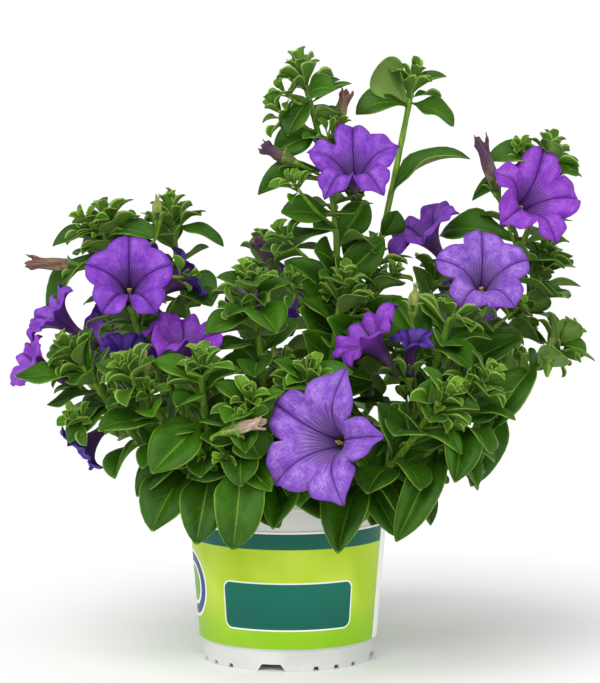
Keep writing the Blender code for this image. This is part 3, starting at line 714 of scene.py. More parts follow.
def make_wrap_finish(colours):
    """Printed film: a lime ground with soft light streaks, a dark band, a blank plaque and a round seal."""
    p = Paint("printed_film_ink")

    def inside(distance, edge):
        return 1.0 - p.step(distance, edge - 0.4, edge)

    ground, band, blue = ((*c, 1.0) for c in (colours.ground, colours.band, colours.seal))
    white = rgb(246, 247, 244)
    where = p.place()
    east, north, level = (p.part(where, axis) for axis in ("X", "Y", "Z"))
    turn_deg = east.math("ARCTAN2", north * -1.0) * (180.0 / math.pi)
    up = level / MM
    glow = p.noise(1.0, 2.0, where=p.vector(turn_deg * 0.022 + up * 0.006, up * 0.016))
    lime = p.mix(ground, rgb(204, 224, 76), p.step(glow, 0.32, 0.74))
    lime = p.mix(lime, rgb(120, 184, 16), (1.0 - p.step(up, 14.0, 52.0)) * 0.75)
    wide = abs(turn_deg * (math.pi / 180.0 * PRINT_RADIUS)) - PLAQUE_HALF_WIDTH
    tall = abs(up - PLAQUE_Z) - PLAQUE_HALF_HEIGHT
    corner = (wide.math("MAXIMUM", 0.0) ** 2.0 + tall.math("MAXIMUM", 0.0) ** 2.0) ** 0.5
    lime = p.mix(lime, white, inside(corner, PLAQUE_CORNER + 1.2))
    plaque = p.mix(band, rgb(0, 118, 96), p.step(up, 26.0, 52.0) * 0.5)
    lime = p.mix(lime, plaque, inside(corner, PLAQUE_CORNER + 0.4))
    off_arc = (turn_deg + SEAL_LEFT_DEG) * (math.pi / 180.0 * (PRINT_RADIUS - 1.0))
    ring = (off_arc ** 2.0 + (up - SEAL_Z) ** 2.0) ** 0.5
    rim, seal, gap, heart = SEAL_RADII
    lime = p.mix(lime, white, inside(ring, rim))
    lime = p.mix(lime, blue, inside(ring, seal) * p.step(ring, gap - 0.4, gap))
    lime = p.mix(lime, rgb(110, 170, 50), inside(ring, heart))
    ink = p.mix(lime, band, p.step(up, BAND_Z, BAND_Z + 0.4))
    ink = p.mix(ink, white, p.step(up, BAND_TOP_Z, BAND_TOP_Z + 0.4))
    start, end = PRINT_END_DEG
    bare = p.step(turn_deg, start - 0.5, start) * (1.0 - p.step(turn_deg, end, end + 0.5))
    ink = p.mix(ink, white, bare)
    wear = p.noise(400.0, 3.0)
    return p.surface(
        base_color=ink, roughness=0.34 + wear * 0.10, ior=1.45, specular_ior_level=0.3,
        normal=p.bump(p.noise(28.0, 2.0), 0.0004, 0.25))


def make_compost_finish():
    p = Paint("peat")
    lumps = p.noise(160.0, 6.0, 0.7)
    fine = p.noise(900.0, 3.0)
    skin = p.mix(rgb(34, 22, 14), rgb(92, 64, 42), p.step(lumps * 0.7 + fine * 0.3, 0.35, 0.7))
    skin = p.mix(skin, rgb(148, 118, 84), p.step(fine, 0.66, 0.78) * 0.5)
    return p.surface(base_color=skin, roughness=0.95, normal=p.bump(lumps + fine * 0.6, 0.003, 1.0))


def make_anther_finish():
    p = Paint("anther")
    grain = p.noise(1500.0, 3.0)
    return p.surface(base_color=p.mix(rgb(170, 160, 70), rgb(214, 206, 120), grain), roughness=0.85)


# --- growth rules ----------------------------------------------------------------------------------


def stem_points(name):
    (x, y), *rest = SHOOTS[name][0]
    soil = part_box("potting_compost")[1].z / MM
    base = Vector((x, y, soil - 3.0))
    return [base, base + Vector((0, 0, 9))] + [Vector(p) for p in rest]


def along(points, t):
    """Point at a share t of a smooth curve through the points (Catmull-Rom)."""
    place = min(max(t, 0.0), 1.0) * (len(points) - 1)
    i = min(int(place), len(points) - 2)
    u = place - i
    a, b, c, d = (points[min(max(j, 0), len(points) - 1)] for j in (i - 1, i, i + 1, i + 2))
    return 0.5 * (2 * b + (c - a) * u + (2 * a - 5 * b + 4 * c - d) * u**2 + (3 * b - a - 3 * c + d) * u**3)


def stem_at(name, t):
    points = stem_points(name)
    start = 1.0 / (len(points) - 1)
    return along(points, start + (1.0 - start) * t)


def stem_direction(name, t):
    return (stem_at(name, min(t + 0.02, 1.0)) - stem_at(name, t - 0.02)).normalized()


def stem_length(name):
    return sum((stem_at(name, (i + 1) / 12) - stem_at(name, i / 12)).length for i in range(12))


def flower_axes(facing, roll_deg=90.0):
    """Right, up and forward of a flower, with its first lobe turned to roll."""
    forward = Vector(facing).normalized()
    up = (Vector((0, 0, 1)) - forward * forward.z).normalized()
    right = up.cross(forward)
    roll = Quaternion(forward, math.radians(roll_deg))
    return roll @ right, roll @ up, forward


def spoke_at(right, up, i, count):
    """The i-th of count directions round an axis."""
    angle = math.tau * i / count
    return right * math.cos(angle) + up * math.sin(angle)


def tube_tree(rings, covers=()):
    """Rings of points joined to a tube, with covers on the rings that are named, for clearance tests."""
    count = len(rings[0])
    faces = [(k + i, k + (i + 1) % count, k + count + (i + 1) % count, k + count + i)
             for k in range(0, count * (len(rings) - 1), count) for i in range(count)]
    faces += [tuple(range(k * count, (k + 1) * count)) for k in covers]
    return BVHTree.FromPolygons([point for ring in rings for point in ring], faces)


def leaf_card(foot, tip, face, width, share=0.5):
    """A flat six-sided stand-in for the middle share of a leaf, for clearance tests."""
    chord = tip - foot
    side = chord.cross(face).normalized() * width * 0.5 * share
    lift = side.cross(chord).normalized() * chord.length * 0.08
    ends = 0.5 - 0.45 * share
    shoulder, waist = foot + chord * 0.45, foot + chord * 0.75
    points = [foot + chord * ends, shoulder + side + lift, waist + side * 0.8 + lift,
              foot + chord * (1.3 - ends), waist - side * 0.8 + lift, shoulder - side + lift]
    return BVHTree.FromPolygons(points, [(0, 1, 2, 3, 4, 5)])


def flower_trees(mouth, facing, diameter, length):
    """A flower's trumpet as a plain cone, and a short tube in front of it, which leaves stay out of."""
    right, up, forward = flower_axes(facing)
    spokes = [spoke_at(right, up, i, 10) for i in range(10)]
    cone = [[Vector(mouth) - forward * depth + spoke * radius for spoke in spokes]
            for depth, radius in ((0.0, diameter / 2), (length * 0.3, diameter * 0.18), (length, 3.0))]
    sight = [[Vector(mouth) + forward * reach + spoke * diameter / 2 * share for spoke in spokes]
             for reach, share in ((-2.0, 0.92), (26.0, 0.85))]
    return [tube_tree(cone), tube_tree(sight, (0, 1))]


def swung(foot, tip, face, sideways_deg, up_deg):
    """The tip of a leaf after it is turned about its foot."""
    chord = tip - foot
    side = chord.cross(face).normalized()
    chord = Quaternion(side, math.radians(up_deg)) @ chord
    return foot + Quaternion(face, math.radians(sideways_deg)) @ chord


def rule_leaves(name):
    """(foot, tip, face, width) of a shoot's leaves: they turn by the golden angle, get shorter towards
    the tip, and hang outwards lower down."""
    _, longest, shortest, turn_deg = SHOOTS[name]
    count = max(10, round(stem_length(name) / STEM_SPAN))
    made = []
    for i in range(count):
        t = FIRST_LEAF + 0.88 * i / (count - 1)
        foot = stem_at(name, t)
        axis = stem_direction(name, t)
        length = (longest + (shortest - longest) * t**1.3) * RNG.uniform(0.85, 1.12)
        out = Quaternion(axis, math.radians(turn_deg + GOLDEN_DEG * i)) @ axis.orthogonal().normalized()
        away = Vector((foot.x, foot.y, 0)).normalized()
        ahead = out + axis * (0.05 + 0.5 * t) + away * 0.35
        ahead.z -= 0.75 * (1.0 - t) ** 1.2
        tip = foot + ahead.normalized() * length
        tip.z = max(tip.z, OVER_POT_Z if math.hypot(tip.x, tip.y) < OVER_POT_RADIUS else LOWEST_TIP_Z)
        face = (axis * 0.5 + Vector((0, 0, 0.3 + 0.6 * t)) + away * (1.1 - 0.7 * t)).normalized()
        made.append((foot, tip, face, length * RNG.uniform(0.54, 0.66)))
    return made


def rosette_leaves(tip, axis, blades, reach_mm, turn_deg):
    """The young leaves that crowd round a growing tip, from the outermost inwards."""
    out = axis.orthogonal().normalized()
    made = []
    for i in range(blades):
        inner = i / (blades - 1)
        turn_by = math.radians(turn_deg + GOLDEN_DEG * i + RNG.uniform(-12, 12))
        spoke = Quaternion(axis, turn_by) @ out
        lean = math.radians(12 + 62 * inner + RNG.uniform(-12, 12))
        ahead = spoke * math.cos(lean) + axis * math.sin(lean)
        reach = reach_mm * (1.0 - 0.44 * inner) * RNG.uniform(0.82, 1.18)
        foot = tip - axis * reach_mm * (0.55 - 0.62 * inner)
        face = (axis - spoke * 0.3).normalized()
        made.append((foot, foot + ahead * reach, face, reach * RNG.uniform(0.36, 0.47)))
    return made


def outside(tip):
    """Whether a leaf's tip would reach past the plant's outline, which draws in towards the pot."""
    return tip.z < 170 and (tip.x > 114 + 0.45 * (tip.z - 110) or tip.x < -100 - 0.95 * (tip.z - 114))


# --- masters ---------------------------------------------------------------------------------------

OVATE = [0.12, 0.13, 0.22, 0.42, 0.64, 0.83, 0.95, 1.0, 0.98, 0.91, 0.79, 0.61, 0.37, 0.04]
SPATULATE = [0.22, 0.22, 0.27, 0.38, 0.52, 0.68, 0.83, 0.95, 1.0, 0.92, 0.66, 0.08]
# Height of a leaf's columns from its mid rib out to its margin, as shares of its half width.
QUILTED = [0.0, 0.10, 0.20, 0.26, 0.27, 0.22]
HOLLOWED = [0.0, 0.09, 0.22, 0.42]
# Grown and young leaves: height of the columns, arch, extra curl of the tip (degrees), and size of the waves.
LEAF_FORMS = [(0.7, 30, 12, 0.03), (0.9, 56, 0, 0.05), (0.5, 16, 26, 0.03), (1.5, 44, -8, 0.02),
              (0.8, 80, 6, 0.05), (0.6, 46, 24, 0.07), (1.0, 8, 10, 0.03), (0.4, 30, -26, 0.05)]
YOUNG_FORMS = [(0.9, 30, 26, 0.05), (1.3, 10, 34, 0.03), (0.7, 52, 20, 0.07), (1.0, -18, 30, 0.05)]


def leaf_master(name, outline, ridge, lift, arch_deg, tip_curl_deg, wave, material):
    """A leaf one unit long and one wide, from (0, 0, 0) to (0, 1, 0): a grid whose rows are drawn in to the
    outline, whose columns are raised beside the mid rib, and which bends down row by row."""
    rows, columns = len(outline), 2 * len(ridge) - 1
    middle = len(ridge) - 1
    deselect()
    bpy.ops.mesh.primitive_grid_add(x_subdivisions=columns - 1, y_subdivisions=rows - 1, size=1,
                                    location=(0, 0.5, 0))
    obj = bpy.context.object
    obj.name = name
    bpy.ops.object.transform_apply(location=True)
    count = len(obj.data.vertices)
    row_of = [i // columns for i in range(count)]
    column_of = [i % columns - middle for i in range(count)]
    set_fields(obj, along=[r / (rows - 1) for r in row_of], across=[c / middle for c in column_of])
    for step in range(1, middle + 1):
        pick(obj, lambda v, step=step: abs(column_of[v.index]) == step)
        bpy.ops.transform.translate(value=(0, 0, ridge[step] * lift * 0.5))
    for row, share in enumerate(outline):
        pick(obj, lambda v, row=row: row_of[v.index] == row)
        bpy.ops.transform.resize(value=(share, 1, share), center_override=(0, row / (rows - 1), 0))
    for row in range(rows - 1):
        share = row / (rows - 1)
        bend = arch_deg / rows + (tip_curl_deg * 3 / rows if share > 0.66 else 0.0)
        pick(obj, lambda v, row=row: row_of[v.index] > row)
        pivot = obj.data.vertices[row * columns + middle].co.copy()
        bpy.ops.transform.rotate(value=math.radians(bend), orient_axis="X", center_override=pivot)
    object_mode()
    for v in obj.data.vertices:
        side, share = column_of[v.index] / middle, row_of[v.index] / (rows - 1)
        v.co.z += wave * abs(side) ** 3 * math.sin(share * 9.0 + side * 2.0) * math.sin(math.pi * share)
    level_tip(obj, (rows - 1) * columns + middle)
    thicken(obj, 0.010, 1.0, "under")
    finish(obj, material)
    return obj


def level_tip(obj, tip_index):
    """Turns and scales a leaf about its foot so that its tip lies at (0, 1, 0)."""
    tip = obj.data.vertices[tip_index].co.copy()
    level = tip.rotation_difference(Vector((0, 1, 0))).to_matrix().to_4x4()
    obj.data.transform(Matrix.Scale(1.0 / tip.length, 4) @ level)


def place_leaf(master, foot, tip, face, width, tint):
    chord = tip - foot
    ahead = chord.normalized()
    side = ahead.cross(Vector(face)).normalized()
    up = side.cross(ahead)
    length = chord.length
    leaf = copy_of(master, basis(foot, side * width * MM, ahead * length * MM, up * length * MM), tint)
    drape(leaf)
    return leaf


def drape(leaf):
    """Lays the part of a leaf that would cut into the pot's wall or rim over it, or on the outside of it."""
    for v in leaf.data.vertices:
        out = math.hypot(v.co.x, v.co.y) / MM
        if v.co.z < RIM_CLEAR_Z * MM and RIM_INNER_RADIUS < out < RIM_MIDDLE_RADIUS:
            v.co.z = RIM_CLEAR_Z * MM
        elif v.co.z < RIM_CLEAR_Z * MM and 52.0 < out < RIM_OUTER_RADIUS:
            pushed = 61.8 + 0.3 * (out - 52.0)
            v.co.x *= pushed / out
            v.co.y *= pushed / out


def hairs_on(name, path, radii, spacing, length):
    """Fine hairs standing off a stem, made as one mesh of three-sided spikes."""
    verts, faces = [], []
    for i in range(len(path) - 1):
        a, b = path[i], path[i + 1]
        axis = (b - a).normalized()
        across = axis.orthogonal().normalized()
        for _ in range(max(1, round((b - a).length / spacing))):
            place = a.lerp(b, RNG.random())
            angle = RNG.uniform(0, math.tau)
            out = Quaternion(axis, angle) @ across
            side = axis.cross(out)
            lean = (out + axis * RNG.uniform(-0.5, 0.5) + side * RNG.uniform(-0.4, 0.4)).normalized()
            root = place + out * (radii[i] - 0.1)
            tip = root + lean * length * RNG.uniform(0.6, 1.2)
            start = len(verts)
            verts += [(root + spoke_at(axis, side, k, 3) * HAIR_RADIUS) * MM for k in range(3)]
            verts.append(tip * MM)
            faces += [(start + k, start + (k + 1) % 3, start + 3) for k in range(3)]
    mesh = bpy.data.meshes.new(name)
    mesh.from_pydata(verts, [], faces)
    mesh.materials.append(FINISHES["hair"])
    return new_object(name, mesh)


# --- flowers ---------------------------------------------------------------------------------------

# Outlines as (radius, height): of a trumpet, as shares of its radius and length, and of a closed corolla's
# rolled part and of its torn end.
FLOWER_COLUMNS = 120
ROLLED = [(0.52, 0.0), (0.62, 0.12), (0.74, 0.26), (0.84, 0.40), (0.86, 0.54), (0.76, 0.68)]
TORN = [(0.80, 0.80), (0.95, 0.90), (1.15, 1.0)]
TRUMPET = [(0.085, 0.0), (0.088, 0.12), (0.095, 0.24), (0.11, 0.35), (0.135, 0.44), (0.17, 0.53),
           (0.215, 0.61), (0.27, 0.685), (0.33, 0.75), (0.40, 0.81), (0.47, 0.86), (0.55, 0.905),
           (0.63, 0.94), (0.71, 0.97), (0.79, 0.99), (0.86, 1.0), (0.92, 1.0), (0.97, 0.99), (1.0, 0.98)]
# Point at each lobe's tip, how far the lobes curl back, puff beside the mid vein, depth of the pleat
# between lobes, and size of the ruffle, as shares of the flower's radius.
SHAPES = {
    "star": (0.12, 0.15, 0.10, 0.10, 0.03),
    "round": (0.03, 0.09, 0.09, 0.08, 0.035),
    "folded": (0.07, 0.14, 0.11, 0.20, 0.045),
}
# Depth of the five clefts between lobes, length of the five lobes, how far each lobe curls back, how far the
# edges at each cleft stand up (or, below 0, sink), and how round the lobes are at each cleft (1) or how
# straight (0), for the flowers that differ from the rule.
LOBES = {
    "front": ((0.58, 0.26, 0.36, 0.20, 0.40), (1.04, 1.10, 0.98, 1.06, 1.02),
              (0.4, 1.2, 0.3, 0.9, 1.3), (-1.6, 1.3, 1.4, -0.6, -0.8), (0.30, 1.0, 0.9, 1.0, 0.25)),
    "top": ((0.42, 0.30, 0.34, 0.26, 0.38), (1.04, 0.98, 1.02, 1.04, 1.0),
            (0.2, 0.5, 2.4, 2.2, 0.5), (-1.2, -0.8, 1.2, -0.4, 1.2), (0.8, 0.6, 1.0, 1.0, 0.5)),
    "right_top": ((0.44, 0.20, 0.24, 0.26, 0.22), (1.05, 1.08, 0.95, 1.0, 1.05),
                  (0.6, -0.6, 1.8, 1.8, 1.2), (1.5, -1.0, 1.0, 1.0, -0.8), (1.0, 0.9, 1.0, 0.9, 1.0)),
    "right": ((0.30, 0.34, 0.22, 0.30, 0.16), (1.0, 1.08, 0.95, 1.02, 1.0),
              (0.0, 0.9, 2.8, 1.4, 0.4), (1.2, 1.4, -1.0, 1.0, -0.5), (1.0, 1.0, 0.8, 1.0, 1.0)),
    "left": ((0.16, 0.20, 0.66, 0.20, 0.14), (1.0, 1.02, 1.02, 1.04, 1.02),
             (0.5, 0.6, 1.0, 1.0, 0.6), (0.4, 0.6, 1.9, 0.5, 0.4), (1.0, 1.0, 1.0, 1.0, 1.0)),
}


def rise(value, low, high):
    share = min(max((value - low) / (high - low), 0.0), 1.0)
    return share * share * (3 - 2 * share)


def make_corolla(name, diameter, length, shape, seed, material):
    """A trumpet of five lobes, facing +Z with its tube's end at the origin."""
    point, curl, puff, pleat, ruffle = SHAPES[shape]
    radius = diameter / 2
    obj = turn(name, [(max(r * radius, 2.6), z * length) for r, z in TRUMPET], FLOWER_COLUMNS)
    rng = random.Random(seed)
    rule = ([rng.uniform(0.12, 0.45) for _ in range(5)], [rng.uniform(0.94, 1.07) for _ in range(5)],
            [rng.uniform(0.2, 1.8) for _ in range(5)], [rng.uniform(-1.2, 1.6) for _ in range(5)],
            [rng.uniform(0.4, 1.0) for _ in range(5)])
    clefts, lengths, curls, edges, rounds = LOBES.get(name, rule)
    waves = [(k, rng.uniform(0.3, 1.0), rng.uniform(0, math.tau)) for k in (7, 11, 17)]
    twists = [rng.uniform(-0.10, 0.10) for _ in range(5)]
    lobes, reaches, offs = [], [], []
    for v in obj.data.vertices:
        r = math.hypot(v.co.x, v.co.y) / MM
        angle = math.atan2(v.co.y, v.co.x)
        place = (angle / math.tau * 5) % 5
        k, sinus = int(round(place)) % 5, int(place) % 5
        signed = (place - round(place)) * 2
        off = abs(signed)
        reach = r / radius
        limb, edge = rise(reach, 0.16, 0.9), rise(reach, 0.45, 1.0)
        cleft = clefts[sinus]
        grow = 1 + edge * (point * math.exp(-((off / 0.16) ** 2)) + (lengths[k] - 1) * (1 - off))
        roundness = 1.4 + (1.0 + 4.5 * cleft) * rounds[sinus]
        grow -= rise(reach, 0.60 - 0.8 * cleft, 1.0) * 0.85 * cleft * off**roundness
        height = limb * puff * radius * math.sin(math.pi * min(off * 1.05, 1.0)) ** 0.8
        height -= limb * 0.045 * radius * math.exp(-((off / 0.10) ** 2))
        height -= edge**1.6 * curl * radius * curls[k] * (1 - 0.75 * off**2)
        height += edge * pleat * radius * edges[sinus] * math.exp(-(((1 - off) / 0.24) ** 2))
        height += edge**2 * twists[k] * radius * signed
        height += edge**2 * ruffle * radius * sum(a * math.sin(n * angle + f) for n, a, f in waves)
        v.co.x *= grow
        v.co.y *= grow
        v.co.z += height * MM
        lobes.append(off)
        reaches.append(reach)
        offs.append(off * r * math.pi / 5)
    set_fields(obj, lobe=lobes, reach=reaches, off_vein=offs)
    thicken(obj, 0.35 * MM, other_side="outer")
    finish(obj, material)
    return obj


def make_anthers(length):
    """Five anthers and the stigma, deep in the throat."""
    made = []
    for i in range(6):
        angle = math.tau * i / 5
        out = 0.0 if i == 5 else 0.9
        x, y = out * math.cos(angle), out * math.sin(angle)
        deselect()
        bpy.ops.mesh.primitive_uv_sphere_add(segments=10, ring_count=6, radius=0.55 * MM)
        head = bpy.context.object
        middle = Vector((x, y, length * (0.44 + 0.03 * (i % 3)))) * MM
        head.data.transform(Matrix.Translation(middle) @ Matrix.Diagonal((1.0, 1.0, 1.5, 1.0)))
        finish(head, FINISHES["anther"])
        foot = (out * 0.7 * math.cos(angle), out * 0.7 * math.sin(angle), length * 0.15)
        path = [foot, (x, y, length * 0.44)]
        made += [head, tube("filament", path, [0.25, 0.22], FINISHES["anther"], 6)]
    return made


def make_closed(name, base, end, diameter, seed, material, flare=1.0):
    """A rolled or withered corolla from base to end, in mm: a pleated tube with a torn, flared end."""
    rng = random.Random(seed)
    radius = diameter / 2
    base, axis = Vector(base), Vector(end) - Vector(base)
    length = axis.length
    profile = [(radius * r, length * z) for r, z in ROLLED]
    profile += [(radius * r * flare, length * z) for r, z in TORN]
    obj = turn(name, profile, 40)
    phases = [rng.uniform(0, math.tau) for _ in range(4)]
    lobes, reaches = [], []
    for v in obj.data.vertices:
        share = v.co.z / MM / length
        angle = math.atan2(v.co.y, v.co.x) + share * 1.3
        pleats = 0.5 + 0.5 * math.cos(5 * angle + phases[0])
        squeeze = 1 - 0.30 * rise(share, 0.15, 0.7) * (1 - pleats)
        squeeze += 0.10 * math.sin(3 * angle + phases[1] + 5 * share)
        v.co.x *= squeeze
        v.co.y *= squeeze
        torn = 0.09 * math.sin(3 * angle + phases[0]) + 0.02 * math.sin(13 * angle + phases[2])
        v.co.z += rise(share, 0.72, 1.0) * length * torn * MM
        v.co.x += 0.10 * length * share**2 * MM * math.cos(phases[3])
        lobes.append(angle)
        reaches.append(share)
    set_fields(obj, lobe=lobes, reach=reaches)
    thicken(obj, 0.45 * MM)
    finish(obj, material)
    obj.data.transform(basis(base, *flower_axes(axis)))
    return obj


# Petal finishes, as display colours: main, pale, deep, throat, veins, light let through.
PETALS = {
    "violet": ((112, 33, 174), (155, 90, 210), (76, 21, 130), (122, 80, 160), (38, 6, 66), (150, 60, 230)),
    "bright": ((124, 32, 177), (165, 85, 213), (85, 22, 134), (126, 80, 160), (44, 8, 72), (170, 60, 240)),
    "lilac": ((118, 60, 180), (173, 129, 219), (89, 40, 150), (146, 112, 174), (50, 14, 86), (160, 110, 240)),
    "dark": ((62, 20, 130), (98, 48, 178), (38, 10, 84), (52, 24, 92), (22, 4, 44), (110, 40, 190)),
}
# Finishes of closed flowers: name, dark, light, streaks towards the calyx.
WITHERED = {
    "faded": ("faded_flower", (92, 52, 50), (150, 110, 84), (140, 150, 80)),
    "wilted": ("wilted_flower", (50, 24, 50), (98, 52, 90), (120, 110, 70)),
    "bud": ("bud_skin", (96, 120, 20), (190, 192, 96), (130, 160, 40)),
    "dried": ("dried_flower", (150, 116, 100), (214, 190, 168), (170, 170, 110)),
}


# --- settings --------------------------------------------------------------------------------------


class PotSettings(bpy.types.PropertyGroup):
    height: length_property("Height", "From the ground to the top of the rim", 100.0)
    rim_radius: length_property("Rim radius", "Outer radius of the rolled rim", 60.5)
    wall_top_radius: length_property("Wall radius at the top", "Outer radius of the wall under the rim", 58.4)
    wall_low_radius: length_property("Wall radius at the bottom", "Outer radius of the wall above the foot", 51.6)
    white: colour_property("Plastic", "Colour of the pot", 216, 216, 213)


class WrapSettings(bpy.types.PropertyGroup):
    low: length_property("Lower edge", "Height of the film's lower edge", 13.2)
    high: length_property("Upper edge", "Height of the film's upper edge", 82.0)
    ground: colour_property("Ground", "Main colour of the print", 168, 202, 14)
    band: colour_property("Band", "Colour of the band and the plaque", 0, 92, 78)
    seal: colour_property("Seal", "Colour of the round seal", 40, 62, 128)


class PlantSettings(bpy.types.PropertyGroup):
    stem_radius: length_property("Stem radius", "Radius of a stem at the compost", 2.3)
    hair_length: length_property("Hair length", "Length of the fine hairs", 1.0)
    leaf: colour_property("Leaf", "Colour of a grown leaf in the light", 56, 106, 4)
    leaf_shade: colour_property("Leaf shade", "Colour of the darker parts of a leaf", 26, 62, 2)


class StageSettings(bpy.types.PropertyGroup):
    lens: bpy.props.FloatProperty(name="Lens", description="Focal length in mm", default=153.7, min=10.0)
    distance: bpy.props.FloatProperty(name="Distance", description="From the camera to the pot's axis",
                                      default=1.7, unit="LENGTH")
    height: bpy.props.FloatProperty(name="Height", description="Height of the camera", default=0.345,
                                    unit="LENGTH")
    pitch: bpy.props.FloatProperty(name="Pitch", description="How far the camera looks down",
                                   default=math.radians(5.35), subtype="ANGLE")


# --- operators -------------------------------------------------------------------------------------


def hand_over(piece, node):
    """Hangs a finished piece on the root body and hides the imported node that it stands for."""
    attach(piece, "root")
    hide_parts(node)


class PETUNIA_OT_pot(bpy.types.Operator):
    """Build the nursery pot with its rim, raised floor and notched foot"""

    bl_idname = "petunia.pot"
    bl_label = "Pot"

    def execute(self, context):
        s = context.scene.petunia_pot
        radii = (s.rim_radius, s.wall_top_radius, s.wall_low_radius)
        height, (rim, top, low) = s.height / MM, (radius / MM for radius in radii)
        wall, floor = POT_WALL, FLOOR_Z
        profile = [
            (0.0, wall), (15.8, wall), (19.0, floor), (48.5, floor), (49.9, floor + 1.5),
            (top - wall, height - WALL_TOP_DROP), (rim - wall, height - 4.0), (rim - wall, height - 0.3),
            (rim - wall + 0.3, height), (rim - 0.3, height), (rim, height - 0.3), (rim, height - 4.9),
            (rim - 0.4, height - 5.4), (top + 0.2, height - 6.0), (top, height - 6.6), (low, WALL_LOW_Z),
            (low - 0.4, 12.1), (50.7, 11.7), (50.5, 11.2), (FOOT_RADIUS, 0.3), (50.0, 0.0), (48.8, 0.0),
            (48.5, 0.3), (48.1, 4.0), (20.2, 4.0), (17.2, 0.2), (16.8, 0.0), (0.0, 0.0)]
        pot = turn("nursery_pot", profile, 168)
        cut = pot.modifiers.new("Notch", "BOOLEAN")
        cut.object = self.cutter()
        cut.solver = "EXACT"
        apply_all(pot)
        put_away(bpy.data.objects["foot_cutter"])
        finish(pot, FINISHES["pot"], 28)
        hand_over(pot, "pot")
        return {"FINISHED"}

    @staticmethod
    def cutter():
        """Wide gaps and narrow slits round the foot, and the drain holes, all in one object."""
        made = []
        for quarter in range(4):
            start = NOTCH_START_DEG + 90.0 * quarter
            for turn_deg, width, height in NOTCHES:
                deselect()
                bpy.ops.mesh.primitive_cube_add(size=1)
                box = bpy.context.object
                pick(box, lambda v: v.co.z < 0)
                bpy.ops.transform.resize(value=(1, 2.0, 1), center_override=(0, 0, -0.5))
                object_mode()
                box.scale = (7.0 * MM, width * MM, 2 * height * MM)
                angle = math.radians(start + turn_deg)
                box.location = (FOOT_RADIUS * MM * math.cos(angle), FOOT_RADIUS * MM * math.sin(angle), 0)
                box.rotation_euler.z = angle
                bpy.ops.object.transform_apply(location=True, rotation=True, scale=True)
                edit_mode()
                bpy.ops.mesh.select_all(action="SELECT")
                bpy.ops.mesh.bevel(offset=0.5 * MM, segments=2)
                object_mode()
                made.append(box)
            angle, ring = math.radians(start + 45.0), DRAIN_RING_RADIUS * MM
            deselect()
            bpy.ops.mesh.primitive_cylinder_add(
                vertices=24, radius=DRAIN_RADIUS * MM, depth=6.0 * MM,
                location=(ring * math.cos(angle), ring * math.sin(angle), 4.0 * MM))
            bpy.ops.object.transform_apply(location=True)
            made.append(bpy.context.object)
        return join("foot_cutter", made)


class PETUNIA_OT_wrap(bpy.types.Operator):
    """Wrap the printed film round the pot"""

    bl_idname = "petunia.wrap"
    bl_label = "Printed film"

    def execute(self, context):
        s, pot = context.scene.petunia_wrap, context.scene.petunia_pot

        def radius(z):
            share = (z - WALL_LOW_Z) / (WALL_TOP_Z - WALL_LOW_Z)
            return (pot.wall_low_radius + share * (pot.wall_top_radius - pot.wall_low_radius)) / MM + 0.35

        low, high = s.low / MM, s.high / MM
        heights = (low, low + 0.4, low + 20, (low + high) / 2, high - 20, high - 0.4, high)
        seam = math.radians(4.0)
        line = [(radius(z), z) for z in heights]
        film = turn("film_wrap", line, 176, math.tau - seam, math.pi / 2 + seam / 2)
        thicken(film, 0.28 * MM, 1.0)
        finish(film, FINISHES["wrap"], 40)
        hand_over(film, "printed_film")
        return {"FINISHED"}


class PETUNIA_OT_compost(bpy.types.Operator):
    """Fill the pot with lumpy compost"""

    bl_idname = "petunia.compost"
    bl_label = "Compost"

    def execute(self, context):
        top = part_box("potting_compost")[1].z / MM
        profile = [(0.0, top)] + [(r, top - 0.0008 * r * r) for r in range(3, 54, 3)]
        profile += [(55.8, top - 3.0), (55.0, top - 12.0), (49.3, 7.2), (48.2, 5.6), (0.0, 5.6)]
        soil = turn("peat_fill", profile, 120)
        rng = random.Random(5)
        bumps = [(rng.uniform(-54, 54), rng.uniform(-54, 54), rng.uniform(1.5, 5.5), rng.uniform(-0.6, 1.6))
                 for _ in range(420)]
        for v in soil.data.vertices:
            if v.co.z > (top - 6.0) * MM:
                x, y = v.co.x / MM, v.co.y / MM
                lift = sum(h * math.exp(-((x - a) ** 2 + (y - b) ** 2) / w**2) for a, b, w, h in bumps)
                edge = rise(55.5 - math.hypot(x, y), 0.0, 4.0)
                v.co.z += min(lift, 4.0) * edge * MM
        finish(soil, FINISHES["compost"])
        hand_over(soil, "potting_compost")
        return {"FINISHED"}


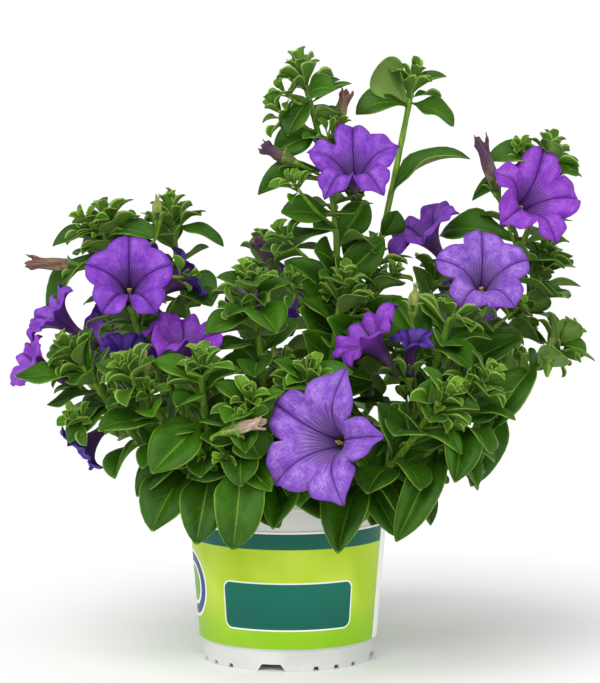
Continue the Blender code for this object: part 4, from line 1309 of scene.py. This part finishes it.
class PETUNIA_OT_foliage(bpy.types.Operator):
    """Grow the shoots: stems, leaves, tip rosettes, flower stalks and calyces"""

    bl_idname = "petunia.foliage"
    bl_label = "Shoots and leaves"

    def execute(self, context):
        self.settings = context.scene.petunia_plant
        self.leaves = [leaf_master(f"leaf_{i}", OVATE, QUILTED, *shape, FINISHES["leaf"])
                       for i, shape in enumerate(LEAF_FORMS)]
        self.young = [leaf_master(f"young_{i}", SPATULATE, HOLLOWED, *shape, FINISHES["young"])
                      for i, shape in enumerate(YOUNG_FORMS)]
        self.solids, self.cards = self.list_solids(), []
        shoots = {name: self.grow_stem(name) for name in SHOOTS}
        for name in SHOOTS:
            shoots[name] += self.add_placed(name) + self.add_rosettes(name)
        for name in SHOOTS:
            shoots[name] += self.add_rule(name)
        for name, parts in shoots.items():
            hand_over(join("foliage_" + name, parts), "shoot_" + name)
        put_away(*self.leaves, *self.young)
        return {"FINISHED"}

    @staticmethod
    def list_solids():
        """What the leaves keep clear of: the flowers, the way into each, and the pot's wall."""
        solids = []
        for _, _, mouth, facing, diameter, length, *_ in FLOWERS.values():
            solids += flower_trees(mouth, facing, diameter, length)
        wall = [[(62.5 * math.cos(a), 62.5 * math.sin(a), z) for a in [math.tau * i / 24 for i in range(24)]]
                for z in (4.0, 99.0)]
        return solids + [tube_tree(wall)]

    def grow_stem(self, name):
        spans = max(10, round(stem_length(name) / STEM_SPAN))
        path = [stem_points(name)[0]] + [stem_at(name, i / spans) for i in range(spans + 1)]
        thick = self.settings.stem_radius / MM
        radii = [thick * (1.0 - 0.28 * i / (spans + 1)) * (1.0 + 0.07 * math.sin(i * 2.3))
                 for i in range(len(path))]
        made = [tube(name + "_stem", path, radii, FINISHES["stem"], 12),
                hairs_on(name + "_hair", path, radii, 0.22, self.settings.hair_length / MM)]
        for shoot, t, mouth, facing, _, length, *_ in FLOWERS.values():
            if shoot == name:
                facing = Vector(facing)
                made += self.add_stalk(name, t, Vector(mouth) - facing.normalized() * length, facing, 15.0)
        for shoot, t, base, end, *_ in CLOSED_FLOWERS.values():
            if shoot == name:
                made += self.add_stalk(name, t, Vector(base), Vector(end) - Vector(base), 11.0)
        for i, (shoot, t, base, end, diameter) in enumerate(BUDS):
            if shoot == name:
                made.append(make_closed("bud", base, end, diameter, 70 + i, FINISHES["bud"], 0.3))
                made += self.add_stalk(name, t, Vector(base), Vector(end) - Vector(base), 9.0)
        return made

    def add_stalk(self, name, t, base, facing, sepal):
        """A flower's stalk, its receptacle and its five narrow sepals."""
        foot, facing = stem_at(name, t), facing.normalized()
        start = base - facing * 6.0
        bend = start - facing * 0.4 * (start - foot).length
        path = []
        for i in range(15):
            u = i / 14
            path.append(foot * (1 - u) ** 2 + bend * 2 * u * (1 - u) + start * u**2)
        path += [base - facing * 4.0, base - facing * 2.0, base + facing * 0.2]
        radii = [STALK_RADIUS] * 14 + [1.1, 1.8, 2.4, 2.5]
        made = [tube(name + "_stalk", path, radii, FINISHES["stem"], 10),
                hairs_on(name + "_stalk_hair", path, radii, 0.3, 0.8)]
        right, up, forward = flower_axes(facing, RNG.uniform(0, 72))
        for i in range(5):
            spoke = spoke_at(right, up, i, 5)
            root = base - forward * 3.0 + spoke * 2.4
            ahead = (forward * 0.93 + spoke * RNG.uniform(0.34, 0.62)).normalized()
            tip = root + ahead * sepal * RNG.uniform(0.85, 1.1)
            face = -(spoke - forward * 0.2)
            made.append(place_leaf(self.young[1 + i % 2], root, tip, face, SEPAL_WIDTH, 0.55))
        return made

    def blocked(self, foot, tip, face, width):
        """Whether a leaf would cut into a flower or the pot, or hide a flower's mouth."""
        card = leaf_card(foot, tip, face, width, 1.0)
        return any(card.overlap(tree) for tree in self.solids)

    def add_leaf(self, masters, foot, tip, face, width, tint, must=False):
        """A leaf at the first swing that is clear, or none. One that must be there isn't swung."""
        for sideways, up in SWINGS:
            end = swung(foot, tip, face, sideways, up)
            card = leaf_card(foot, end, face, width)
            if must or not (self.blocked(foot, end, face, width) or any(card.overlap(c) for c in self.cards)):
                self.cards.append(card)
                return [place_leaf(masters[RNG.randrange(len(masters))], foot, end, face, width, tint)]
        return []

    def add_placed(self, name):
        made = []
        for t, tip, width, face, *form in PLACED_LEAVES.get(name, ()):
            masters = [self.leaves[i] for i in form] or self.leaves
            made += self.add_leaf(masters, stem_at(name, t), Vector(tip), Vector(face).normalized(), width,
                                  RNG.uniform(0.2, 0.5), True)
        return made

    def add_rosettes(self, name):
        """The crowded leaves at the shoot's tip, and smaller tufts on short twigs below it."""
        turn_deg = SHOOTS[name][3]
        axis = stem_direction(name, 1.0)
        made = self.rosette(stem_at(name, 1.0) + axis * 3.0, axis, 16, 22.0, turn_deg)
        for t, middle, size in PLACED_TUFTS.get(name, ()):
            foot, tip = stem_at(name, t), Vector(middle)
            ahead = (tip - foot).normalized() + Vector((0, -0.3, 0.6))
            path = [foot, foot.lerp(tip, 0.5) - Vector((0, 0, 2)), tip]
            made.append(tube(name + "_twig", path, [1.3, 1.1, 0.9], FINISHES["stem"], 8))
            made += self.rosette(tip, ahead.normalized(), 10, size, turn_deg)
        for i, t in enumerate((0.80, 0.55)):
            foot, axis = stem_at(name, t), stem_direction(name, t)
            out = Quaternion(axis, math.radians(turn_deg + 60 + 140 * i)) @ axis.orthogonal().normalized()
            ahead = (axis * 0.9 + out * RNG.uniform(0.7, 1.1)).normalized()
            tip = foot + ahead * RNG.uniform(13.0, 20.0)
            if self.blocked(foot, tip, out.cross(axis), 4.0) or self.bare(name, t):
                continue
            path = [foot, foot.lerp(tip, 0.35) + out * 1.5, foot.lerp(tip, 0.7) + out * 1.0, tip]
            made.append(tube(name + "_twig", path, [1.1, 1.0, 0.9, 0.7], FINISHES["stem"], 8))
            made += self.rosette(tip, ahead, 7, 15.0, turn_deg + 40 * i)
        return made

    @staticmethod
    def bare(name, t):
        """Whether a shoot carries no leaves of its own at t."""
        low, high = BARE.get(name, (1.0, 1.0))
        return low < t < high

    def rosette(self, tip, axis, blades, reach, turn_deg):
        made = []
        for i, (foot, end, face, width) in enumerate(rosette_leaves(tip, axis, blades, reach, turn_deg)):
            tint = 0.35 + 0.6 * i / blades
            if not self.blocked(foot, end, face, width):
                made.append(place_leaf(self.young[i % 4], foot, end, face, width, tint))
        return made

    def add_rule(self, name):
        made = []
        leaves = rule_leaves(name)
        for i, (foot, tip, face, width) in enumerate(leaves):
            share = i / len(leaves)
            if self.bare(name, FIRST_LEAF + 0.88 * share) or outside(tip):
                continue
            made += self.add_leaf(self.leaves, foot, tip, face, width, RNG.uniform(0.0, 0.4) + 0.25 * share)
        return made


class PETUNIA_OT_flowers(bpy.types.Operator):
    """Make the open flowers, with their anthers"""

    bl_idname = "petunia.flowers"
    bl_label = "Open flowers"

    def execute(self, context):
        for seed, (name, row) in enumerate(FLOWERS.items()):
            _, _, mouth, facing, diameter, length, roll, petal, shape = row
            corolla = make_corolla(name, diameter, length, shape, seed + 3, FINISHES[petal])
            piece = join("blossom_" + name, [corolla] + make_anthers(length))
            right, up, forward = flower_axes(facing, roll)
            piece.data.transform(basis(Vector(mouth) - forward * length, right, up, forward))
            hand_over(piece, "corolla_" + name)
        return {"FINISHED"}


class PETUNIA_OT_closed(bpy.types.Operator):
    """Make the buds and the faded flowers"""

    bl_idname = "petunia.closed"
    bl_label = "Buds and faded flowers"

    def execute(self, context):
        for seed, (name, row) in enumerate(CLOSED_FLOWERS.items()):
            _, _, base, end, diameter, skin = row
            piece = make_closed("rolled_" + name, base, end, diameter, seed + 40, FINISHES[skin])
            hand_over(piece, name)
        return {"FINISHED"}


class PETUNIA_OT_stage(bpy.types.Operator):
    """Set up the pale floor, the studio light and the camera"""

    bl_idname = "petunia.stage"
    bl_label = "Stage"

    def execute(self, context):
        s = context.scene.petunia_stage
        deselect()
        bpy.ops.mesh.primitive_plane_add(size=200)
        floor = bpy.context.object
        floor.name = "floor"
        p = Paint("floor_paint")
        floor.data.materials.append(p.surface(base_color=rgb(250, 250, 250), roughness=0.9))
        self.backdrop(context.scene)
        self.lamp("key", (-0.55, -1.0, 1.5), 2.0, 50)
        self.lamp("fill", (0.8, -1.7, 0.8), 0.9, 60)
        camera = bpy.data.cameras.new("camera")
        camera.lens = s.lens
        camera.sensor_width = 36.0
        eye = new_object("camera", camera)
        eye.location = (0.007, -s.distance, s.height)
        eye.rotation_euler = (math.pi / 2 - s.pitch, 0, 0)
        context.scene.camera = eye
        context.scene.view_settings.view_transform = "Standard"
        return {"FINISHED"}

    @staticmethod
    def backdrop(scene):
        """A white surround, brightest near the horizon."""
        p = Paint("studio", bpy.data.worlds.new("studio"))
        level = abs(p.part(p.node("ShaderNodeTexCoord", None, None, "Generated"), "Z"))
        strength = p.node("ShaderNodeMapRange", {"interpolation_type": "SMOOTHSTEP"}, {
            "Value": level, "From Min": 0.12, "From Max": 0.45, "To Min": 1.0, "To Max": 0.55})
        white = (1.0, 1.0, 1.0, 1.0)
        scene.world = p.end(p.node("ShaderNodeBackground", None, {"Color": white, "Strength": strength}))

    @staticmethod
    def lamp(name, place, strength, spread_deg):
        light = bpy.data.lights.new(name, "SUN")
        light.energy = strength
        light.angle = math.radians(spread_deg)
        obj = new_object(name, light)
        obj.location = place
        obj.rotation_euler = (Vector((0, 0, 0.2)) - Vector(place)).to_track_quat("-Z", "Y").to_euler()


class PETUNIA_PT_panel(bpy.types.Panel):
    """The petunia's tools"""

    bl_label = "Potted petunia"
    bl_space_type = "VIEW_3D"
    bl_region_type = "UI"
    bl_category = "Petunia"

    def draw(self, context):
        for operator in OPERATORS:
            self.layout.operator(operator.bl_idname)
        for group in SETTINGS:
            box = self.layout.box()
            settings = getattr(context.scene, group)
            for name in settings.bl_rna.properties.keys():
                if name not in ("rna_type", "name"):
                    box.prop(settings, name)


OPERATORS = (PETUNIA_OT_pot, PETUNIA_OT_wrap, PETUNIA_OT_compost, PETUNIA_OT_foliage, PETUNIA_OT_flowers,
             PETUNIA_OT_closed, PETUNIA_OT_stage)
SETTINGS = {"petunia_pot": PotSettings, "petunia_wrap": WrapSettings, "petunia_plant": PlantSettings,
            "petunia_stage": StageSettings}


def register():
    for cls in (*SETTINGS.values(), *OPERATORS, PETUNIA_PT_panel):
        bpy.utils.register_class(cls)
    for name, cls in SETTINGS.items():
        setattr(bpy.types.Scene, name, bpy.props.PointerProperty(type=cls))


def unregister():
    for name in SETTINGS:
        delattr(bpy.types.Scene, name)
    for cls in (PETUNIA_PT_panel, *OPERATORS, *SETTINGS.values()):
        bpy.utils.unregister_class(cls)


def mix_finishes(scene):
    """Makes every material once."""
    plant = scene.petunia_plant
    FINISHES.update(
        pot=make_pot_finish(scene.petunia_pot.white),
        wrap=make_wrap_finish(scene.petunia_wrap),
        compost=make_compost_finish(),
        # The last colour and share of each leaf skin give its pale veins and its margin, which is painted light
        # as a rim highlight
        leaf=make_leaf_finish("leaf_skin", (*plant.leaf_shade, 1.0), (*plant.leaf, 1.0), rgb(78, 128, 8),
                              rgb(124, 158, 76), rgb(126, 162, 46), 0.915),
        young=make_leaf_finish("young_leaf_skin", rgb(40, 84, 2), rgb(74, 122, 10), rgb(112, 156, 28),
                               rgb(82, 120, 36), rgb(152, 182, 88), 0.82),
        stem=make_stem_finish(),
        hair=make_hair_finish(),
        anther=make_anther_finish())
    for key, colours in PETALS.items():
        FINISHES[key] = make_petal_finish("petal_" + key, *(rgb(*colour) for colour in colours))
    for key, (name, *colours) in WITHERED.items():
        FINISHES[key] = make_withered_finish(name, *(rgb(*colour) for colour in colours))


def main():
    register()
    mix_finishes(bpy.context.scene)
    for operator in OPERATORS:
        module, name = operator.bl_idname.split(".")
        getattr(getattr(bpy.ops, module), name)()
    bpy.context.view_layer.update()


if __name__ == "__main__":
    main()
